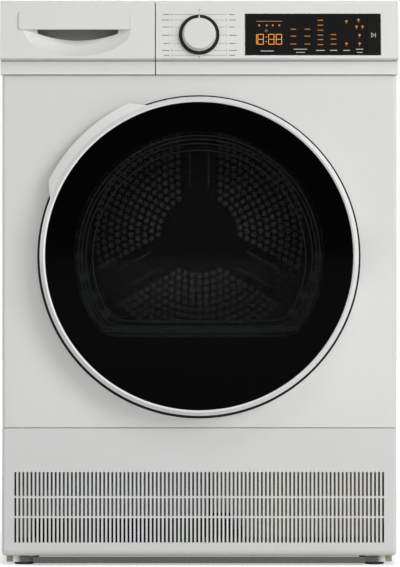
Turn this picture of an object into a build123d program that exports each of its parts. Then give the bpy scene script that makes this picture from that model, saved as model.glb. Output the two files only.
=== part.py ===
from build123d import *
import math
import os

# Free-standing condenser clothes dryer, piece by piece, in millimetres.
# The front faces -Y, +X is to the viewer's right and +Z is up.
# The origin lies on the floor below the middle of the machine.

os.makedirs("parts", exist_ok=True)

# Cabinet
cabinet_width = 594.0
fascia_overhang = 1.5
height = 850.0
depth = 600.0
door_stand = 40.0
duct_stand = 38.0
sheet = 1.0
sheet_flange = 18.0
sheet_return = 20.0
corner_radius = 5.0
worktop_thickness = 18.0
worktop_edge_radius = 4.0
worktop_rear_overhang = 34.0
seam = 1.0
wall = 2.5
clearance = 0.3
running_fit = 0.05

# Heights of the front's bands
plinth_bottom = 3.0
plinth_top = 12.5
kick_bottom = 14.0
kick_top = 206.5
fascia_height = 111.5

# Base pan, with the tunnel that the heat exchanger slides into
pan_floor = 3.0
pan_wall = 3.0
pan_wall_top = 62.0
pan_front_wall_top = 40.0
pan_setback = 22.0
plinth_setback = 3.0
plinth_inset = 47.0
pan_rear_gap = 1.0
tunnel_inset = 51.0
tunnel_width = 255.0
tunnel_top = 158.0
tunnel_setback = 46.0
tunnel_rear_gap = 76.0
tunnel_port = 20.0
tunnel_port_length = 70.0

# Feet
foot_inset = 32.0
foot_front_setback = 27.0
foot_rear_setback = 37.0
foot_pad_radius = 15.0
foot_pad_height = 8.0
foot_stem_radius = 5.0
foot_stem_top = 34.0
foot_boss_radius = 8.0
foot_boss_top = 30.0

# Kick plate and its grille
kick_proud = 2.0
kick_depth = 20.0
kick_roll_radius = 9.5
kick_pin_radius = 3.0
kick_ear_radius = 6.0
kick_ear_inset = 15.0
kick_ear_width = 7.0
kick_ear_lift = 0.5
kick_ear_top = 36.0
kick_lug_width = 6.0
kick_corner_cut = 8.0
slot_margin = 17.0
slot_pitch = 6.08
slot_width = 3.0
slot_rows = ((34.6, 71.5), (74.5, 101.5), (104.6, 140.7))

# Fascia, seen from the side: a low strip, an undercut and a main face that leans back
strip_proud = 6.0
strip_height = 21.1
face_foot_proud = 17.0
undercut_height = 1.4
face_lean = 6.0
face_foot_radius = 2.0
fascia_top_radius = 7.0
drawer_split_x = -66.5
drawer_gap = 1.5

# Display, start key and programme knob, placed on the leaning face
display_width = 182.9
display_inset = 46.6
display_low = 5.5
display_high = 68.2
glass_thickness = 3.0
glass_proud = 0.3
display_margin = 0.4
board_depth = 8.0
board = 2.0
board_left = -22.0
board_post_radius = 4.0
board_post_inset = 6.0
board_post_reach = 24.0
board_post_v = (12.0, 60.0)
screen_right_gap = 2.4
key_inset = 26.5
key_gap = 0.6
key_proud = 0.6
key_flange_depth = 3.0
key_flange = 1.2
key_flange_margin = 2.0
key_travel = 1.2
key_plunger_radius = 3.0
key_plunger = 0.6
switch_gap = 0.2
switch_side = 12.0
knob_v = 36.2
knob_skirt_radius = 30.4
knob_skirt_gap = 0.4
knob_skirt_thickness = 2.6
knob_base_radius = 24.6
knob_face_radius = 23.2
knob_height = 10.5
knob_edge_radius = 1.5
knob_shaft_radius = 3.0
knob_shaft_depth = 16.0
encoder_side = 28.0
encoder_front = 3.5

# Water tank drawer
plate_left_inset = 27.7
plate_right_inset = 37.0
plate_low = 44.4
plate_high = 69.9
plate_thickness = 4.2
plate_proud = 2.4
plate_corner_radius = 3.0
dish_middle_v = 44.0
dish_low_v = 4.0
dish_half_width = 80.0
dish_depth = 14.0
pocket_half_width = 60.5
pocket_low_v = 30.0
pocket_side_v = 39.5
pocket_roof_v = 62.0
pocket_depth = 27.0
scoop_wall = 2.5
drawer_back_drop = 7.0
tank_left_inset = 21.0
tank_right_inset = 11.5
tank_height = 39.0
tank_top_gap = 24.0
tank_rear_gap = 84.0
tank_wall = 2.0
tank_runner_width = 6.0
tank_runner_height = 2.0
tank_runner_inset = 14.0
tank_filler_side = 60.0
tray_floor = 2.5
tray_wall = 2.0
tray_wall_height = 15.0
tray_gap = 2.0
tray_rear_gap = 62.0
tray_front_gap = 2.0

# Door
door_drop = 43.0
ring_drum_step = 34.0
ring_sheet_gap = 27.0
ring_lip = 8.2
ring_wall = 5.0
ring_ledge = 11.0
ring_inner_bevel = 2.4
ring_inner_drop = 2.2
ring_outer_drop = 7.0
ring_ledge_thickness = 3.0
ring_gap = 5.0
door_glass_thickness = 5.0
door_glass_setback = 3.0
glass_rim_gap = 0.3
pull_reach = 14.0
pull_angle = 134.0
pull_half_angle = 25.0
pull_end_angle = 6.0
pull_thickness = 3.0
pull_sheet_gap = 20.0
frame_plate = 4.0
frame_inner_step = 46.0
frame_rib_step = 32.0
frame_rib = 3.0
bowl_step = 51.0
bowl_taper = 34.0
bowl_flat_step = 67.0
bowl_rear_flat_step = 62.0
bowl_corner_radius = 30.0
bowl_depth = 80.0
bowl_wall = 5.0
bowl_flange_step = 37.0
bowl_flange = 4.0
hinge_step = 13.0
hinge_stand = 24.0
hinge_knuckle_radius = 5.0
hinge_pin_radius = 2.5
hinge_half_height = 28.0
hinge_knuckle_half = 9.7
hinge_ear_width = 6.0
hinge_plate = 2.0
hinge_plate_width = 30.0
hinge_plate_left = 8.0
hinge_notch_reach = 10.0
hinge_plate_half_height = 40.0
hinge_notch_half_height = 33.0
leaf_thickness = 3.3
leaf_reach = 30.0
leaf_half_height = 36.0
hook_step = 14.0
hook_base = 1.5
hook_width = 8.0
hook_height = 24.0
hook_reach = 16.0
hook_slot_margin = 4.0
catch_depth = 20.0
catch_wall = 3.0
door_opening_step = 32.0
seal_inner_step = 7.0
seal_outer_step = 6.0
seal_lip = 3.0

# Drum and what carries it
drum_side_gap = 25.0
drum_top_gap = 2.2
drum_bottom = 236.0
drum_wall = 1.2
drum_setback = 60.0
drum_rear_gap = 36.0
neck_step = 40.0
neck_length = 16.0
drum_back_thickness = 1.5
hub_radius = 40.0
hub_thickness = 8.0
stub_radius = 12.5
back_hole_radius = 8.0
back_hole_first_step = 40.0
back_hole_row_step = 24.0
back_hole_counts = (40, 36)
lifter_count = 3
lifter_first_angle = 90.0
lifter_height = 58.0
lifter_base = 92.0
lifter_crest = 26.0
lifter_wall = 3.0
lifter_setback = 32.0
lifter_rear_gap = 2.0
bearing_radius = 28.0
bearing_length = 20.0
bearing_flange_radius = 46.0
bearing_flange = 3.0
bulkhead = 3.0
bulkhead_inset = 13.0
bulkhead_end_gap = 6.5
throat_step = 3.0
throat_wall = 3.0
throat_setback = 5.0
drum_ring_step = 6.0
drum_ring_wall = 4.0
drum_ring_gap = 3.0
felt_thickness = 4.4
felt_width = 12.0
roller_radius = 25.0
roller_width = 11.0
roller_bore = 4.0
roller_head_radius = 7.0
roller_head = 2.0
roller_angle = 38.0
filter_side_step = 81.0
filter_setback = 6.0
filter_length = 61.0
filter_front_height = 7.0
filter_rear_height = 34.0
filter_floor_rise = 65.0
filter_wall = 3.0

# Drive, fans and air path
motor_inset = 127.0
fan_floor_gap = 7.5
motor_radius = 58.0
motor_length = 140.0
motor_rear_gap = 162.0
motor_collar = 5.0
motor_collar_radius = 20.0
motor_shaft_radius = 6.0
pulley_radius = 12.0
pulley_width = 16.0
pulley_rim = 2.0
pulley_gap = 16.0
belt_width = 10.0
belt_thickness = 2.2
bracket_plate = 4.0
bracket_width = 90.0
bracket_inset = 25.0
idler_radius = 18.0
idler_bore = 4.0
idler_distance = 102.0
idler_arm_width = 22.0
idler_arm_thickness = 4.0
process_fan_radius = 76.0
process_fan_width = 42.0
process_fan_gap = 66.0
fan_disc = 3.0
fan_blade = 2.0
fan_hub_radius = 14.0
process_blades = 24
process_blade_chord = 22.0
cooling_blades = 9
cooling_blade_pitch = 35.0
cooling_fan_radius = 66.0
cooling_fan_width = 34.0
cooling_fan_gap = 70.0
fan_housing_radius = 92.0
fan_housing_wall = 3.0
fan_housing_depth = 76.0
fan_inlet_radius = 55.0
fan_outlet_step = 22.0
duct_step = 36.0
duct_foot_step = 16.0
duct_flange = 12.0
duct_draft = 8.0
air_hole_radius = 30.0
air_hole_step = 92.0
air_hole_count = 12
heater_step = 41.0
heater_band = 60.0
heater_depth = 22.0
heater_cell = 8.0
heater_cells = 48
heater_rim = 8.0
heater_drop = 20.0
exchanger_gap = 2.0
exchanger_cover = 8.0
exchanger_cover_lip = 6.0
exchanger_fin_pitch = 14.0
exchanger_fin_gap = 12.0
exchanger_rim = 14.0
lever_length = 23.0
lever_width = 14.0
lever_thickness = 6.0
lever_inset = 16.0
lever_drop = 41.0
lever_pin_radius = 4.0
pump_inset = 57.0
pump_width = 64.0
pump_length = 54.0
pump_rear_gap = 14.0
pump_top = 88.0
pump_cap = 26.0
pump_corner_radius = 6.0
pump_motor_radius = 18.0
hose_radius = 6.0
hose_inset = 13.0
hose_rear_gap = 22.0
hose_bend = 30.0
hose_outlet_inset = 35.0
hose_low_z = 140.0
hose_side_z = 216.0
hose_high_gap = 160.0
hose_top_gap = 115.0
module_width = 176.0
module_inset = 25.0
module_height = 40.0
module_setback = 38.0
module_length = 152.0
module_ribs = 5
module_rib_gap = 4.0
module_rib_depth = 3.0
rail_gap = 5.5
rail_depth = 16.0
gland_inset = 61.0
gland_z = 96.0
gland_radius = 14.0
gland_bore = 5.0
gland_length = 14.0
gland_lip = 5.0
gland_flange = 4.0
screw_head_radius = 5.0
screw_head = 3.0
screw_shank_radius = 2.0
screw_shank = 10.0
rear_panel_bottom = 20.0
rear_panel_gap = 1.0
screw_first_z = 120.0
screw_last_gap = 60.0
screws_a_side = 4

# Places across the machine
fascia_width = cabinet_width + 2 * fascia_overhang
half_cabinet = cabinet_width / 2
half_fascia = fascia_width / 2
sheet_inside = half_cabinet - sheet
plinth_half_width = half_cabinet - plinth_inset
tunnel_left = -half_cabinet + tunnel_inset
tunnel_right = tunnel_left + tunnel_width
foot_x = half_cabinet - foot_inset
kick_ear_inner_x = half_cabinet - kick_ear_inset
slot_columns = int((cabinet_width - 2 * slot_margin) / slot_pitch)
display_right = half_fascia - display_inset
display_left = display_right - display_width
key_right = half_fascia - key_inset
board_post_x = (board_left + board_post_inset, display_left - board_post_reach)
plate_left = -half_fascia + plate_left_inset
plate_right = drawer_split_x - plate_right_inset
scoop_centre_x = (drawer_split_x - half_fascia) / 2
tank_left = -half_cabinet + tank_left_inset
tank_right = drawer_split_x - tank_right_inset
bulkhead_half_width = half_cabinet - bulkhead_inset
motor_x = half_cabinet - motor_inset
pump_left = -half_cabinet + pump_inset
pump_right = pump_left + pump_width
hose_x = -half_cabinet + hose_inset
hose_outlet_x = -half_cabinet + hose_outlet_inset
module_right = half_cabinet - module_inset
module_left = module_right - module_width
gland_x = -half_cabinet + gland_inset
screw_x = half_cabinet - sheet_flange / 2

# Places from front to rear
door_front_y = -depth / 2
duct_rear_y = depth / 2
front_sheet_y = door_front_y + door_stand
cabinet_rear_y = duct_rear_y - duct_stand
side_front_y = front_sheet_y + sheet_return
worktop_rear_y = cabinet_rear_y + worktop_rear_overhang
pan_front_y = front_sheet_y + pan_setback
plinth_front_y = front_sheet_y + plinth_setback
pan_rear_y = cabinet_rear_y - pan_rear_gap
tunnel_front_y = front_sheet_y + tunnel_setback
tunnel_rear_y = cabinet_rear_y - tunnel_rear_gap
foot_front_y = front_sheet_y + foot_front_setback
foot_rear_y = cabinet_rear_y - foot_rear_setback
kick_front_y = front_sheet_y - kick_proud
fascia_rear_y = side_front_y
strip_y = front_sheet_y - strip_proud
face_foot_y = front_sheet_y - face_foot_proud
tank_rear_y = cabinet_rear_y - tank_rear_gap
tray_rear_y = cabinet_rear_y - tray_rear_gap
ring_rear_y = front_sheet_y - ring_gap
bowl_rear_y = front_sheet_y + bowl_depth
hinge_y = front_sheet_y - hinge_stand
drum_front_y = front_sheet_y + drum_setback
drum_rear_y = cabinet_rear_y - drum_rear_gap
lifter_front_y = drum_front_y + lifter_setback
bulkhead_y = pan_front_y
throat_front_y = front_sheet_y + throat_setback
drum_ring_rear_y = drum_front_y - drum_ring_gap
filter_front_y = front_sheet_y + filter_setback
filter_rear_y = filter_front_y + filter_length
motor_rear_y = cabinet_rear_y - motor_rear_gap
motor_front_y = motor_rear_y - motor_length
pulley_front_y = motor_rear_y + pulley_gap
process_fan_front_y = cabinet_rear_y - process_fan_gap
cooling_fan_front_y = motor_front_y - cooling_fan_gap
fan_housing_front_y = cabinet_rear_y - fan_housing_depth
pump_rear_y = cabinet_rear_y - pump_rear_gap
pump_front_y = pump_rear_y - pump_length
hose_y = cabinet_rear_y - hose_rear_gap
module_front_y = front_sheet_y + module_setback
module_rear_y = module_front_y + module_length

# Places from the floor up
pan_floor_top = plinth_top + pan_floor
motor_z = pan_floor_top + fan_floor_gap + fan_housing_radius
kick_pivot_y = kick_front_y + kick_roll_radius
kick_pivot_z = kick_bottom + kick_roll_radius
worktop_bottom = height - worktop_thickness
front_sheet_bottom = kick_top + seam
fascia_bottom = height - fascia_height
front_sheet_top = fascia_bottom - seam
strip_top = fascia_bottom + strip_height
face_foot_z = strip_top + undercut_height
tank_top = height - tank_top_gap
tank_bottom = tank_top - tank_height
drawer_back_low = tank_bottom - drawer_back_drop
tray_wall_top = tank_bottom + tray_wall_height
tray_floor_top = tank_bottom - tank_runner_height - clearance
tray_floor_bottom = tray_floor_top - tray_floor
rail_bottom = fascia_bottom + rail_gap
module_bottom = worktop_bottom - module_height
bulkhead_bottom = front_sheet_bottom + bulkhead_end_gap
bulkhead_top = front_sheet_top - bulkhead_end_gap
hose_high_z = height - hose_high_gap
hose_top_z = height - hose_top_gap
screw_pitch = (height - screw_last_gap - screw_first_z) / (screws_a_side - 1)
screw_heights = tuple(screw_first_z + row * screw_pitch for row in range(screws_a_side))

# Circles of the drum and the door, within the cabinet's width and the front sheet's height
drum_radius = min(half_cabinet - drum_side_gap, (tray_floor_bottom - drum_top_gap - drum_bottom) / 2)
drum_z = drum_bottom + drum_radius
ring_radius = min(drum_radius - ring_drum_step, (front_sheet_top - front_sheet_bottom) / 2 - ring_sheet_gap)
door_z = drum_z - door_drop
pull_radius = ring_radius + pull_reach
frame_inner_radius = ring_radius - frame_inner_step
frame_rib_radius = ring_radius - frame_rib_step
bowl_radius = ring_radius - bowl_step
bowl_rear_radius = bowl_radius - bowl_taper
bowl_flat = bowl_radius - bowl_flat_step
bowl_rear_flat = bowl_rear_radius - bowl_rear_flat_step
bowl_flange_radius = ring_radius - bowl_flange_step
hinge_x = ring_radius - hinge_step
hook_x = -(ring_radius - hook_step)
door_opening_radius = ring_radius - door_opening_step
seal_inner_radius = door_opening_radius - seal_inner_step
seal_outer_radius = door_opening_radius + seal_outer_step
neck_radius = drum_radius - neck_step
throat_radius = door_opening_radius - throat_step
drum_ring_radius = neck_radius - drum_ring_step
back_hole_rings = tuple((drum_radius - back_hole_first_step - row * back_hole_row_step, count)
                        for row, count in enumerate(back_hole_counts))
filter_floor = door_z - throat_radius + filter_floor_rise
filter_half_width = throat_radius - filter_side_step
filter_top_front = filter_floor + filter_front_height
filter_top_rear = filter_floor + filter_rear_height
duct_radius = drum_radius - duct_step
air_hole_ring = drum_radius - air_hole_step
heater_radius = duct_radius - heater_step
duct_foot_radius = fan_housing_radius - duct_foot_step
fan_outlet_radius = fan_housing_radius - fan_outlet_step

switch_depth = key_flange_depth + key_flange + key_plunger + key_travel + switch_gap


def block(x0, x1, y0, y1, z0, z1, mode=Mode.ADD):
    """A block between two corners, added to or cut from the piece being built."""
    with Locations(((x0 + x1) / 2, (y0 + y1) / 2, (z0 + z1) / 2)):
        Box(x1 - x0, y1 - y0, z1 - z0, mode=mode)


def rod(x, z, y0, y1, radius, mode=Mode.ADD):
    """A round bar along Y."""
    with Locations(Location((x, (y0 + y1) / 2, z), (90, 0, 0))):
        Cylinder(radius, y1 - y0, mode=mode)


def cross_rod(x0, x1, y, z, radius, mode=Mode.ADD):
    """A round bar along X."""
    with Locations(Location(((x0 + x1) / 2, y, z), (0, 90, 0))):
        Cylinder(radius, x1 - x0, mode=mode)


def post(x, y, z0, z1, radius, mode=Mode.ADD):
    """A round bar along Z."""
    with Locations((x, y, (z0 + z1) / 2)):
        Cylinder(radius, z1 - z0, mode=mode)


def front_outline(half_width, front_y, rear_y, radius):
    """A cabinet band seen from above: rounded corners at the front, square at the rear."""
    with BuildSketch() as outline:
        with BuildLine():
            FilletPolyline((-half_width, rear_y), (-half_width, front_y), (half_width, front_y),
                           (half_width, rear_y), radius=radius)
            Line((half_width, rear_y), (-half_width, rear_y))
        make_face()
    return outline.sketch_local


def front_plane(y):
    """A plane facing the viewer at y, with its sketch axes along X and Z."""
    return Plane(origin=(0, y, 0), x_dir=(1, 0, 0), z_dir=(0, -1, 0))


# Cabinet sheets
for side, hand in ((-1, "left"), (1, "right")):
    with BuildPart() as side_panel:
        with BuildSketch(Plane.XY.offset(kick_bottom)):
            with Locations((side * (half_cabinet - sheet / 2), (side_front_y + cabinet_rear_y) / 2)):
                Rectangle(sheet, cabinet_rear_y - side_front_y)
            for flange_y in (side_front_y + sheet / 2, cabinet_rear_y - sheet / 2):
                with Locations((side * (half_cabinet - sheet_flange / 2), flange_y)):
                    Rectangle(sheet_flange, sheet)
        extrude(amount=worktop_bottom - kick_bottom)
        pan_edges = (side_front_y - seam, pan_front_y), (pan_rear_y, cabinet_rear_y + seam)
        inner = side * (sheet_inside - sheet_flange - seam)
        low, high = sorted((inner, side * sheet_inside))
        for edge_front, edge_rear in pan_edges:
            block(low, high, edge_front, edge_rear, kick_bottom - seam, pan_wall_top, Mode.SUBTRACT)
        for screw_z in screw_heights:
            rod(side * screw_x, screw_z, cabinet_rear_y - 2 * sheet, cabinet_rear_y + sheet,
                screw_shank_radius + running_fit, Mode.SUBTRACT)
    side_panel.part.label = f"side_panel_{hand}"
    export_step(side_panel.part, f"parts/side_panel_{hand}.step")

with BuildPart() as worktop:
    block(-half_fascia, half_fascia, fascia_rear_y + seam, worktop_rear_y, worktop_bottom, height)
    upper = worktop.edges().group_by(Axis.Z)[-1]
    fillet(upper.filter_by(Axis.X).sort_by(Axis.Y)[-1:] + upper.filter_by(Axis.Y), worktop_edge_radius)
worktop.part.label = "worktop"
export_step(worktop.part, "parts/worktop.step")

hook_slot = hook_width / 2 + hook_slot_margin
hinge_slot = hinge_ear_width / 2 + clearance
with BuildPart() as front_panel:
    with BuildSketch(Plane.XY.offset(front_sheet_bottom)):
        add(front_outline(half_cabinet, front_sheet_y, front_sheet_y + sheet_return, corner_radius))
        add(front_outline(sheet_inside, front_sheet_y + sheet, front_sheet_y + sheet_return,
                          corner_radius - sheet), mode=Mode.SUBTRACT)
    extrude(amount=front_sheet_top - front_sheet_bottom)
    for flange_z in (front_sheet_bottom, front_sheet_top - sheet):
        with BuildSketch(Plane.XY.offset(flange_z)):
            add(front_outline(half_cabinet, front_sheet_y, front_sheet_y + sheet_return, corner_radius))
        extrude(amount=sheet)
    rod(0, door_z, front_sheet_y - seam, front_sheet_y + sheet + seam, door_opening_radius, Mode.SUBTRACT)
    block(hook_x - hook_slot, hook_x + hook_slot, front_sheet_y - seam, front_sheet_y + sheet + seam,
          door_z - hook_height / 2 - hook_slot_margin, door_z + hook_height / 2 + hook_slot_margin,
          Mode.SUBTRACT)
    block(hinge_x - hinge_slot, hinge_x + hinge_slot, front_sheet_y - seam, front_sheet_y + sheet + seam,
          door_z - hinge_half_height - clearance, door_z + hinge_half_height + clearance, Mode.SUBTRACT)
front_panel.part.label = "front_panel"
export_step(front_panel.part, "parts/front_panel.step")

with BuildPart() as cross_rail:
    rail_front_y = side_front_y + sheet
    rail_rear_y = rail_front_y + rail_depth
    block(-sheet_inside, sheet_inside, rail_front_y, rail_rear_y, rail_bottom, tray_floor_bottom)
    block(-sheet_inside - seam, sheet_inside + seam, rail_front_y + sheet, rail_rear_y + seam,
          rail_bottom + sheet, tray_floor_bottom - sheet, Mode.SUBTRACT)
cross_rail.part.label = "cross_rail"
export_step(cross_rail.part, "parts/cross_rail.step")

# Base pan, kick plate and feet
with BuildPart() as base_pan:
    block(-sheet_inside, sheet_inside, pan_front_y, pan_rear_y, plinth_top, pan_wall_top)
    block(-plinth_half_width, plinth_half_width, plinth_front_y, pan_rear_y, plinth_bottom, plinth_top)
    pan_inside = sheet_inside - pan_wall
    block(-pan_inside, pan_inside, pan_front_y + pan_wall, pan_rear_y - pan_wall,
          pan_floor_top, pan_wall_top + seam, Mode.SUBTRACT)
    block(-pan_inside, pan_inside, pan_front_y - seam, pan_front_y + pan_wall + seam,
          pan_front_wall_top, pan_wall_top + seam, Mode.SUBTRACT)
    block(-plinth_half_width + pan_wall, plinth_half_width - pan_wall, plinth_front_y + pan_wall,
          pan_rear_y - pan_wall, plinth_bottom - seam, plinth_top, Mode.SUBTRACT)
    block(tunnel_left, tunnel_right, tunnel_front_y, tunnel_rear_y, plinth_top, tunnel_top)
    block(tunnel_left + pan_wall, tunnel_right - pan_wall, pan_front_y - seam, tunnel_rear_y - pan_wall,
          pan_floor_top, tunnel_top - pan_wall, Mode.SUBTRACT)
    block(tunnel_left + tunnel_port, tunnel_right - tunnel_port, tunnel_front_y + tunnel_port,
          tunnel_front_y + tunnel_port + tunnel_port_length, tunnel_top - pan_wall - seam,
          tunnel_top + seam, Mode.SUBTRACT)
    block(tunnel_right - pan_wall - seam, tunnel_right + seam,
          tunnel_rear_y - tunnel_port - tunnel_port_length, tunnel_rear_y - tunnel_port,
          pan_floor_top + tunnel_port, tunnel_top - tunnel_port, Mode.SUBTRACT)
    rod(motor_x, motor_z, pan_rear_y - pan_wall - seam, pan_rear_y + seam, fan_housing_radius + clearance,
        Mode.SUBTRACT)
    for foot_side in (-1, 1):
        for foot_y in (foot_front_y, foot_rear_y):
            post(foot_side * foot_x, foot_y, foot_pad_height + clearance, foot_boss_top, foot_boss_radius)
            post(foot_side * foot_x, foot_y, plinth_bottom, foot_stem_top, foot_stem_radius + running_fit,
                 Mode.SUBTRACT)
        ear_low, ear_high = sorted((foot_side * kick_ear_inner_x,
                                    foot_side * (kick_ear_inner_x + kick_ear_width)))
        block(ear_low, ear_high, kick_pivot_y, pan_front_y, kick_pivot_z + kick_ear_lift, kick_ear_top)
        cross_rod(ear_low, ear_high, kick_pivot_y, kick_pivot_z, kick_ear_radius)
        cross_rod(ear_low - seam, ear_high + seam, kick_pivot_y, kick_pivot_z,
                  kick_pin_radius + running_fit, Mode.SUBTRACT)
base_pan.part.label = "base_pan"
export_step(base_pan.part, "parts/base_pan.step")

kick_rear_y = kick_front_y + kick_depth
roll_inside = kick_roll_radius - wall
with BuildPart() as kick_plate:
    with BuildSketch(Plane.YZ.offset(-half_cabinet)):
        with BuildLine():
            Line((kick_front_y, kick_top), (kick_front_y, kick_pivot_z))
            CenterArc((kick_pivot_y, kick_pivot_z), kick_roll_radius, 180, 90)
            Polyline((kick_pivot_y, kick_bottom), (kick_rear_y - kick_corner_cut, kick_bottom),
                     (kick_rear_y, kick_bottom + kick_corner_cut), (kick_rear_y, kick_top),
                     (kick_front_y, kick_top))
        make_face()
    extrude(amount=cabinet_width)
    fillet(kick_plate.edges().filter_by(Axis.Z).group_by(Axis.Y)[0], corner_radius)
    with BuildSketch(Plane.YZ.offset(-half_cabinet + wall)):
        with BuildLine():
            Line((kick_front_y + wall, kick_top - wall), (kick_front_y + wall, kick_pivot_z))
            CenterArc((kick_pivot_y, kick_pivot_z), roll_inside, 180, 90)
            Polyline((kick_pivot_y, kick_pivot_z - roll_inside), (kick_pivot_y, kick_bottom - seam),
                     (kick_rear_y + seam, kick_bottom - seam), (kick_rear_y + seam, kick_top - wall),
                     (kick_front_y + wall, kick_top - wall))
        make_face()
    extrude(amount=cabinet_width - 2 * wall, mode=Mode.SUBTRACT)
    for lug_side in (-1, 1):
        lug_outer = kick_ear_inner_x - clearance
        lug_low, lug_high = sorted((lug_side * (lug_outer - kick_lug_width), lug_side * lug_outer))
        cross_rod(lug_low, lug_high, kick_pivot_y, kick_pivot_z, roll_inside)
        pin_low, pin_high = sorted((lug_side * (lug_outer - kick_lug_width),
                                    lug_side * (kick_ear_inner_x + kick_ear_width)))
        cross_rod(pin_low, pin_high, kick_pivot_y, kick_pivot_z, kick_pin_radius)
    for row_low, row_high in slot_rows:
        with BuildSketch(front_plane(kick_front_y - seam)):
            with Locations((0, (row_low + row_high) / 2)):
                with GridLocations(slot_pitch, 1, slot_columns, 1):
                    Rectangle(slot_width, row_high - row_low)
        extrude(amount=-(wall + 2 * seam), mode=Mode.SUBTRACT)
kick_plate.part.label = "kick_plate"
export_step(kick_plate.part, "parts/kick_plate.step")

for foot_side, hand in ((-1, "left"), (1, "right")):
    for foot_y, end in ((foot_front_y, "front"), (foot_rear_y, "rear")):
        with BuildPart() as foot:
            post(foot_side * foot_x, foot_y, 0, foot_pad_height, foot_pad_radius)
            chamfer(foot.edges().group_by(Axis.Z)[-1], seam)
            post(foot_side * foot_x, foot_y, foot_pad_height, foot_stem_top, foot_stem_radius)
        foot.part.label = f"foot_{end}_{hand}"
        export_step(foot.part, f"parts/foot_{end}_{hand}.step")

# Fascia pieces stand on a plane that leans back from the crease above the strip
lean = math.radians(face_lean)
face_out = Vector(0, -math.cos(lean), math.sin(lean))
face_top_y = face_foot_y + (height - face_foot_z) * math.tan(lean)
panel_left = drawer_split_x + drawer_gap
key_left = display_right + key_gap


def face_plane(out):
    """A plane along the leaning face, a distance out from it, with V measured up the face."""
    foot = Vector(0, face_foot_y, face_foot_z)
    return Plane(origin=foot + face_out * out, x_dir=(1, 0, 0), z_dir=face_out)


def fascia_outline(inset):
    """The fascia seen from the side, drawn in by an inset."""
    with BuildSketch() as outline:
        with BuildLine():
            Polyline((fascia_rear_y, fascia_bottom), (strip_y, fascia_bottom), (strip_y, strip_top),
                     (face_foot_y, face_foot_z), (face_top_y, height), (fascia_rear_y, height), close=True)
        make_face()
        fillet(outline.vertices().sort_by(Axis.X)[0], face_foot_radius)
        fillet(outline.vertices().group_by(Axis.Y)[-1].sort_by(Axis.X)[0], fascia_top_radius)
        offset(amount=-inset, kind=Kind.INTERSECTION, mode=Mode.REPLACE)
    return outline.sketch_local


def face_box(x0, x1, v0, v1):
    """A rectangle on the leaning face."""
    with Locations(((x0 + x1) / 2, (v0 + v1) / 2)):
        Rectangle(x1 - x0, v1 - v0)


with BuildPart() as control_panel:
    with BuildSketch(Plane.YZ.offset(panel_left)):
        add(fascia_outline(0))
    extrude(amount=half_fascia - panel_left)
    with BuildSketch(Plane.YZ.offset(panel_left + wall)):
        add(fascia_outline(wall))
    extrude(amount=half_fascia - panel_left - 2 * wall, mode=Mode.SUBTRACT)
    block(panel_left + wall, half_fascia - wall, fascia_rear_y - wall - seam, fascia_rear_y + seam,
          fascia_bottom + wall, height - wall, Mode.SUBTRACT)
    with BuildSketch(face_plane(-wall)):
        for post_x in board_post_x:
            for post_v in board_post_v:
                with Locations((post_x, post_v)):
                    Circle(board_post_radius)
    extrude(amount=-(board_depth - wall))
    with BuildSketch(face_plane(seam)):
        face_box(display_left - display_margin, key_right + display_margin,
                 display_low - display_margin, display_high + display_margin)
        with Locations((0, knob_v)):
            Circle(knob_shaft_radius + clearance)
    extrude(amount=-(wall + 2 * seam), mode=Mode.SUBTRACT)
control_panel.part.label = "control_panel"
export_step(control_panel.part, "parts/control_panel.step")

with BuildPart() as display_glass:
    with BuildSketch(face_plane(glass_proud)):
        face_box(display_left, display_right, display_low, display_high)
    extrude(amount=-glass_thickness)
display_glass.part.label = "display_glass"
export_step(display_glass.part, "parts/display_glass.step")

with BuildPart() as display_board:
    with BuildSketch(face_plane(-board_depth)):
        face_box(board_left, key_right, display_low, display_high)
    extrude(amount=-board)
    with BuildSketch(face_plane(glass_proud - glass_thickness)):
        face_box(display_left, display_right - screen_right_gap, display_low, display_high)
    extrude(amount=-(board_depth + glass_proud - glass_thickness))
    with BuildSketch(face_plane(-switch_depth)):
        with Locations(((key_left + key_right) / 2, (display_low + display_high) / 2)):
            Rectangle(switch_side, switch_side)
    extrude(amount=-(board_depth - switch_depth))
    with BuildSketch(face_plane(-encoder_front)):
        with Locations((0, knob_v)):
            Rectangle(encoder_side, encoder_side)
    extrude(amount=-(board_depth - encoder_front))
    with BuildSketch(face_plane(0)):
        with Locations((0, knob_v)):
            Circle(knob_shaft_radius + running_fit)
    extrude(amount=-(knob_shaft_depth + seam), mode=Mode.SUBTRACT)
display_board.part.label = "display_board"
export_step(display_board.part, "parts/display_board.step")

with BuildPart() as start_key:
    with BuildSketch(face_plane(key_proud)):
        face_box(key_left, key_right, display_low, display_high)
    extrude(amount=-(key_proud + key_flange_depth))
    fillet(start_key.faces().sort_by(Axis.Y)[0].edges(), key_proud / 2)
    with BuildSketch(face_plane(-key_flange_depth)):
        face_box(key_left - key_flange_margin, key_right + key_flange_margin,
                 display_low - key_flange_margin, display_high + key_flange_margin)
    extrude(amount=-key_flange)
    with BuildSketch(face_plane(-key_flange_depth - key_flange)):
        with Locations(((key_left + key_right) / 2, (display_low + display_high) / 2)):
            Circle(key_plunger_radius)
    extrude(amount=-key_plunger)
start_key.part.label = "start_key"
export_step(start_key.part, "parts/start_key.step")

knob_foot = knob_skirt_gap + knob_skirt_thickness
with BuildPart() as knob_skirt:
    with BuildSketch(face_plane(knob_skirt_gap)):
        with Locations((0, knob_v)):
            Circle(knob_skirt_radius)
            Circle(knob_shaft_radius + running_fit, mode=Mode.SUBTRACT)
    extrude(amount=knob_skirt_thickness)
knob_skirt.part.label = "knob_skirt"
export_step(knob_skirt.part, "parts/knob_skirt.step")

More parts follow.
